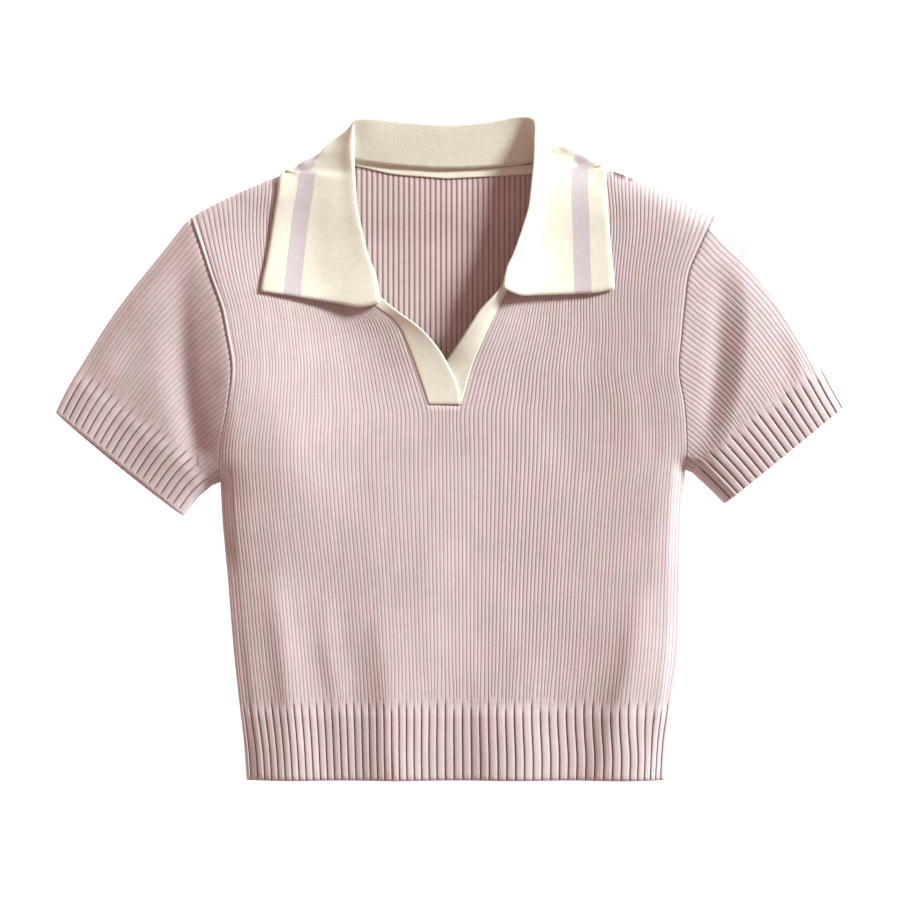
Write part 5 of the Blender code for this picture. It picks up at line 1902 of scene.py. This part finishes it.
@dataclass
class NeckTape(Piece):
    """The tape over the back neck seam, lying on the back's inner face."""

    depths: tuple[Point, ...] = ((-76.0, 4.6), (-50.0, 7.2), (0.0, 7.6), (30.0, 7.4), (66.0, 8.2))
    inset: float = 0.2
    ends: Point = (-78.6, 68.4)
    columns: int = 96
    rows: int = 12
    thickness: float = 1.0
    rib_room: float = 0.5
    waviness: Point = (0.12, 6.0)  # height and length of the faint waves that the ribs below leave in it
    edge_taper: Point = (0.45, 1.2)

    def build(self) -> Object:
        """Build the tape.

        Returns:
            The finished piece.
        """
        x = np.linspace(*self.ends, self.columns + 1)
        top = self.pattern.back_neck_y(x) - self.inset
        down = np.linspace(0.0, 1.0, self.rows + 1)[:, None]
        depth = np.interp(x, *np.array(self.depths).T)
        y = top - depth * (1.0 - down)
        grid_x = np.broadcast_to(x, y.shape)
        (wave, wave_length), (least, full) = self.waviness, self.edge_taper
        height = self.surface.leaf_lift(grid_x, y) + self.surface.wall + self.rib_room + self.surface.layer_gap
        height = height + self.thickness / 2 + wave * np.sin(grid_x / wave_length) * np.sin(np.pi * down)
        grid = np.stack([grid_x, y, height], axis=-1)
        from_edge = np.minimum(down, 1.0 - down) * depth
        taper = least + (1.0 - least) * round_off(np.broadcast_to(from_edge, y.shape), full)
        coordinates = np.stack([y, grid_x], axis=-1)
        made = sheet_wall(grid, self.thickness, coordinates, "neck_tape_cloth", self.knits(PLACKET_KNIT), taper)
        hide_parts("neck_seam_tape")
        return made


# --- Light, floor and camera ---


@dataclass(frozen=True)
class Studio:
    """A pale floor under soft light, seen from straight above."""

    camera_height: float = 2.5
    picture_width: float = 0.738
    sensor: float = 36.0
    floor_size: float = 40.0
    key_power: float = 690.0
    key_from: Colour = (0.73, 0.53, 0.43)
    key_distance: float = 6.0
    key_size: float = 1.5
    key_colour: Colour = (0.96, 1.07, 1.08)
    sky_colour: Colour = (1.0, 0.64, 0.56)
    sky_strength: float = 0.5
    floor_grey: float = 0.93
    floor_glow: float = 0.8

    def add_camera(self) -> None:
        """Look straight down on the shirt, with the hem at the bottom of the picture."""
        lens = bpy.data.cameras.new("camera")
        lens.sensor_width = self.sensor
        lens.lens = self.sensor * self.camera_height / self.picture_width
        lens.clip_end = self.floor_size / 2
        camera = bpy.data.objects.new("camera", lens)
        camera.location = (0.0, 0.0, self.camera_height)
        link(camera)
        bpy.context.scene.camera = camera

    def add_floor(self) -> None:
        """A plain pale floor."""
        half = self.floor_size / 2
        mesh = bpy.data.meshes.new("floor")
        corners = [(-half, -half, 0), (half, -half, 0), (half, half, 0), (-half, half, 0)]
        mesh.from_pydata(corners, [], [(0, 1, 2, 3)])
        floor = bpy.data.objects.new("floor", mesh)
        link(floor)
        paint = bpy.data.materials.new("pale floor")
        paint.use_nodes = True
        NodeChain(paint.node_tree).give(paint.node_tree.nodes["Principled BSDF"], {
            "Base Color": (*[self.floor_grey] * 3, 1.0),
            "Roughness": 1.0,
            "Specular IOR Level": 0.0,
            "Emission Color": (1.0, 1.0, 1.0, 1.0),
            "Emission Strength": self.floor_glow,
        })
        mesh.materials.append(paint)

    def add_light(self) -> None:
        """A soft key light from the picture's upper right, and an even, warm sky."""
        key = bpy.data.lights.new("key", "AREA")
        key.shape = "DISK"
        key.size = self.key_size
        key.energy = self.key_power
        key.color = self.key_colour
        lamp = bpy.data.objects.new("key", key)
        towards = np.array(self.key_from) / np.linalg.norm(self.key_from)
        lamp.location = towards * self.key_distance
        azimuth = math.atan2(towards[1], towards[0])
        lamp.rotation_euler = (0.0, math.acos(towards[2]), azimuth)
        link(lamp)
        world = bpy.data.worlds.new("sky")
        world.use_nodes = True
        sky = world.node_tree.nodes["Background"]
        sky.inputs["Color"].default_value = (*self.sky_colour, 1.0)
        sky.inputs["Strength"].default_value = self.sky_strength
        bpy.context.scene.world = world

    def set_colour(self) -> None:
        """Plain colour, as a product picture has."""
        view = bpy.context.scene.view_settings
        view.view_transform = "Standard"
        view.look = "None"
        view.exposure = 0.0

    def build(self) -> None:
        """Set up the whole studio."""
        self.add_camera()
        self.add_floor()
        self.add_light()
        self.set_colour()


WAIST_WIDTHS: tuple[Point, ...] = (  # rib of the hem band, its width at the join beside the others
    (0, 0.5), (1, 0.88), (2, 0.97), (25, 1), (28, 1.13), (51, 1.17), (53, 0.78), (54, 0.6),
)


def main() -> None:
    """Build the shirt and its studio, and report each piece."""
    logging.basicConfig(level=logging.INFO, format="%(name)s: %(message)s")
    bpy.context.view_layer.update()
    Studio().build()
    pattern = ShirtPattern()
    shared = (pattern, LaidSurface(pattern), KnitGroups())
    waist = RibJoin(124, 55, 11, WAIST_WIDTHS)
    left_cuff = RibJoin(44, 21, 23, early=5.0)
    right_cuff = RibJoin(44, 20, 37)
    left_end = TubeEnds((True, False), round_radius=1.2, lower_reach=2.0)
    right_end = TubeEnds((True, False), round_radius=1.6, scallop=0.9)
    makers = [
        BackPanel(*shared),
        FrontPanel(*shared, waist),
        HemBand(*shared, waist),
        Sleeve(*shared, Side.LEFT, left_cuff),
        Sleeve(*shared, Side.RIGHT, right_cuff),
        Cuff(*shared, Side.LEFT, left_cuff, left_end, border=2.6),
        Cuff(*shared, Side.RIGHT, right_cuff, right_end),
        Collar(*shared),
        Placket(*shared, Side.RIGHT, UNDER_PLACKET),
        Placket(*shared, Side.LEFT, OVER_PLACKET),
        NeckTape(*shared),
    ]
    for maker in makers:
        made = maker.build()
        for piece in made if isinstance(made, list) else [made]:
            faces = sum(len(polygon.vertices) - 2 for polygon in piece.data.polygons)
            LOG.info("%s: %d triangles", piece.name, faces)


if __name__ == "__main__":
    main()
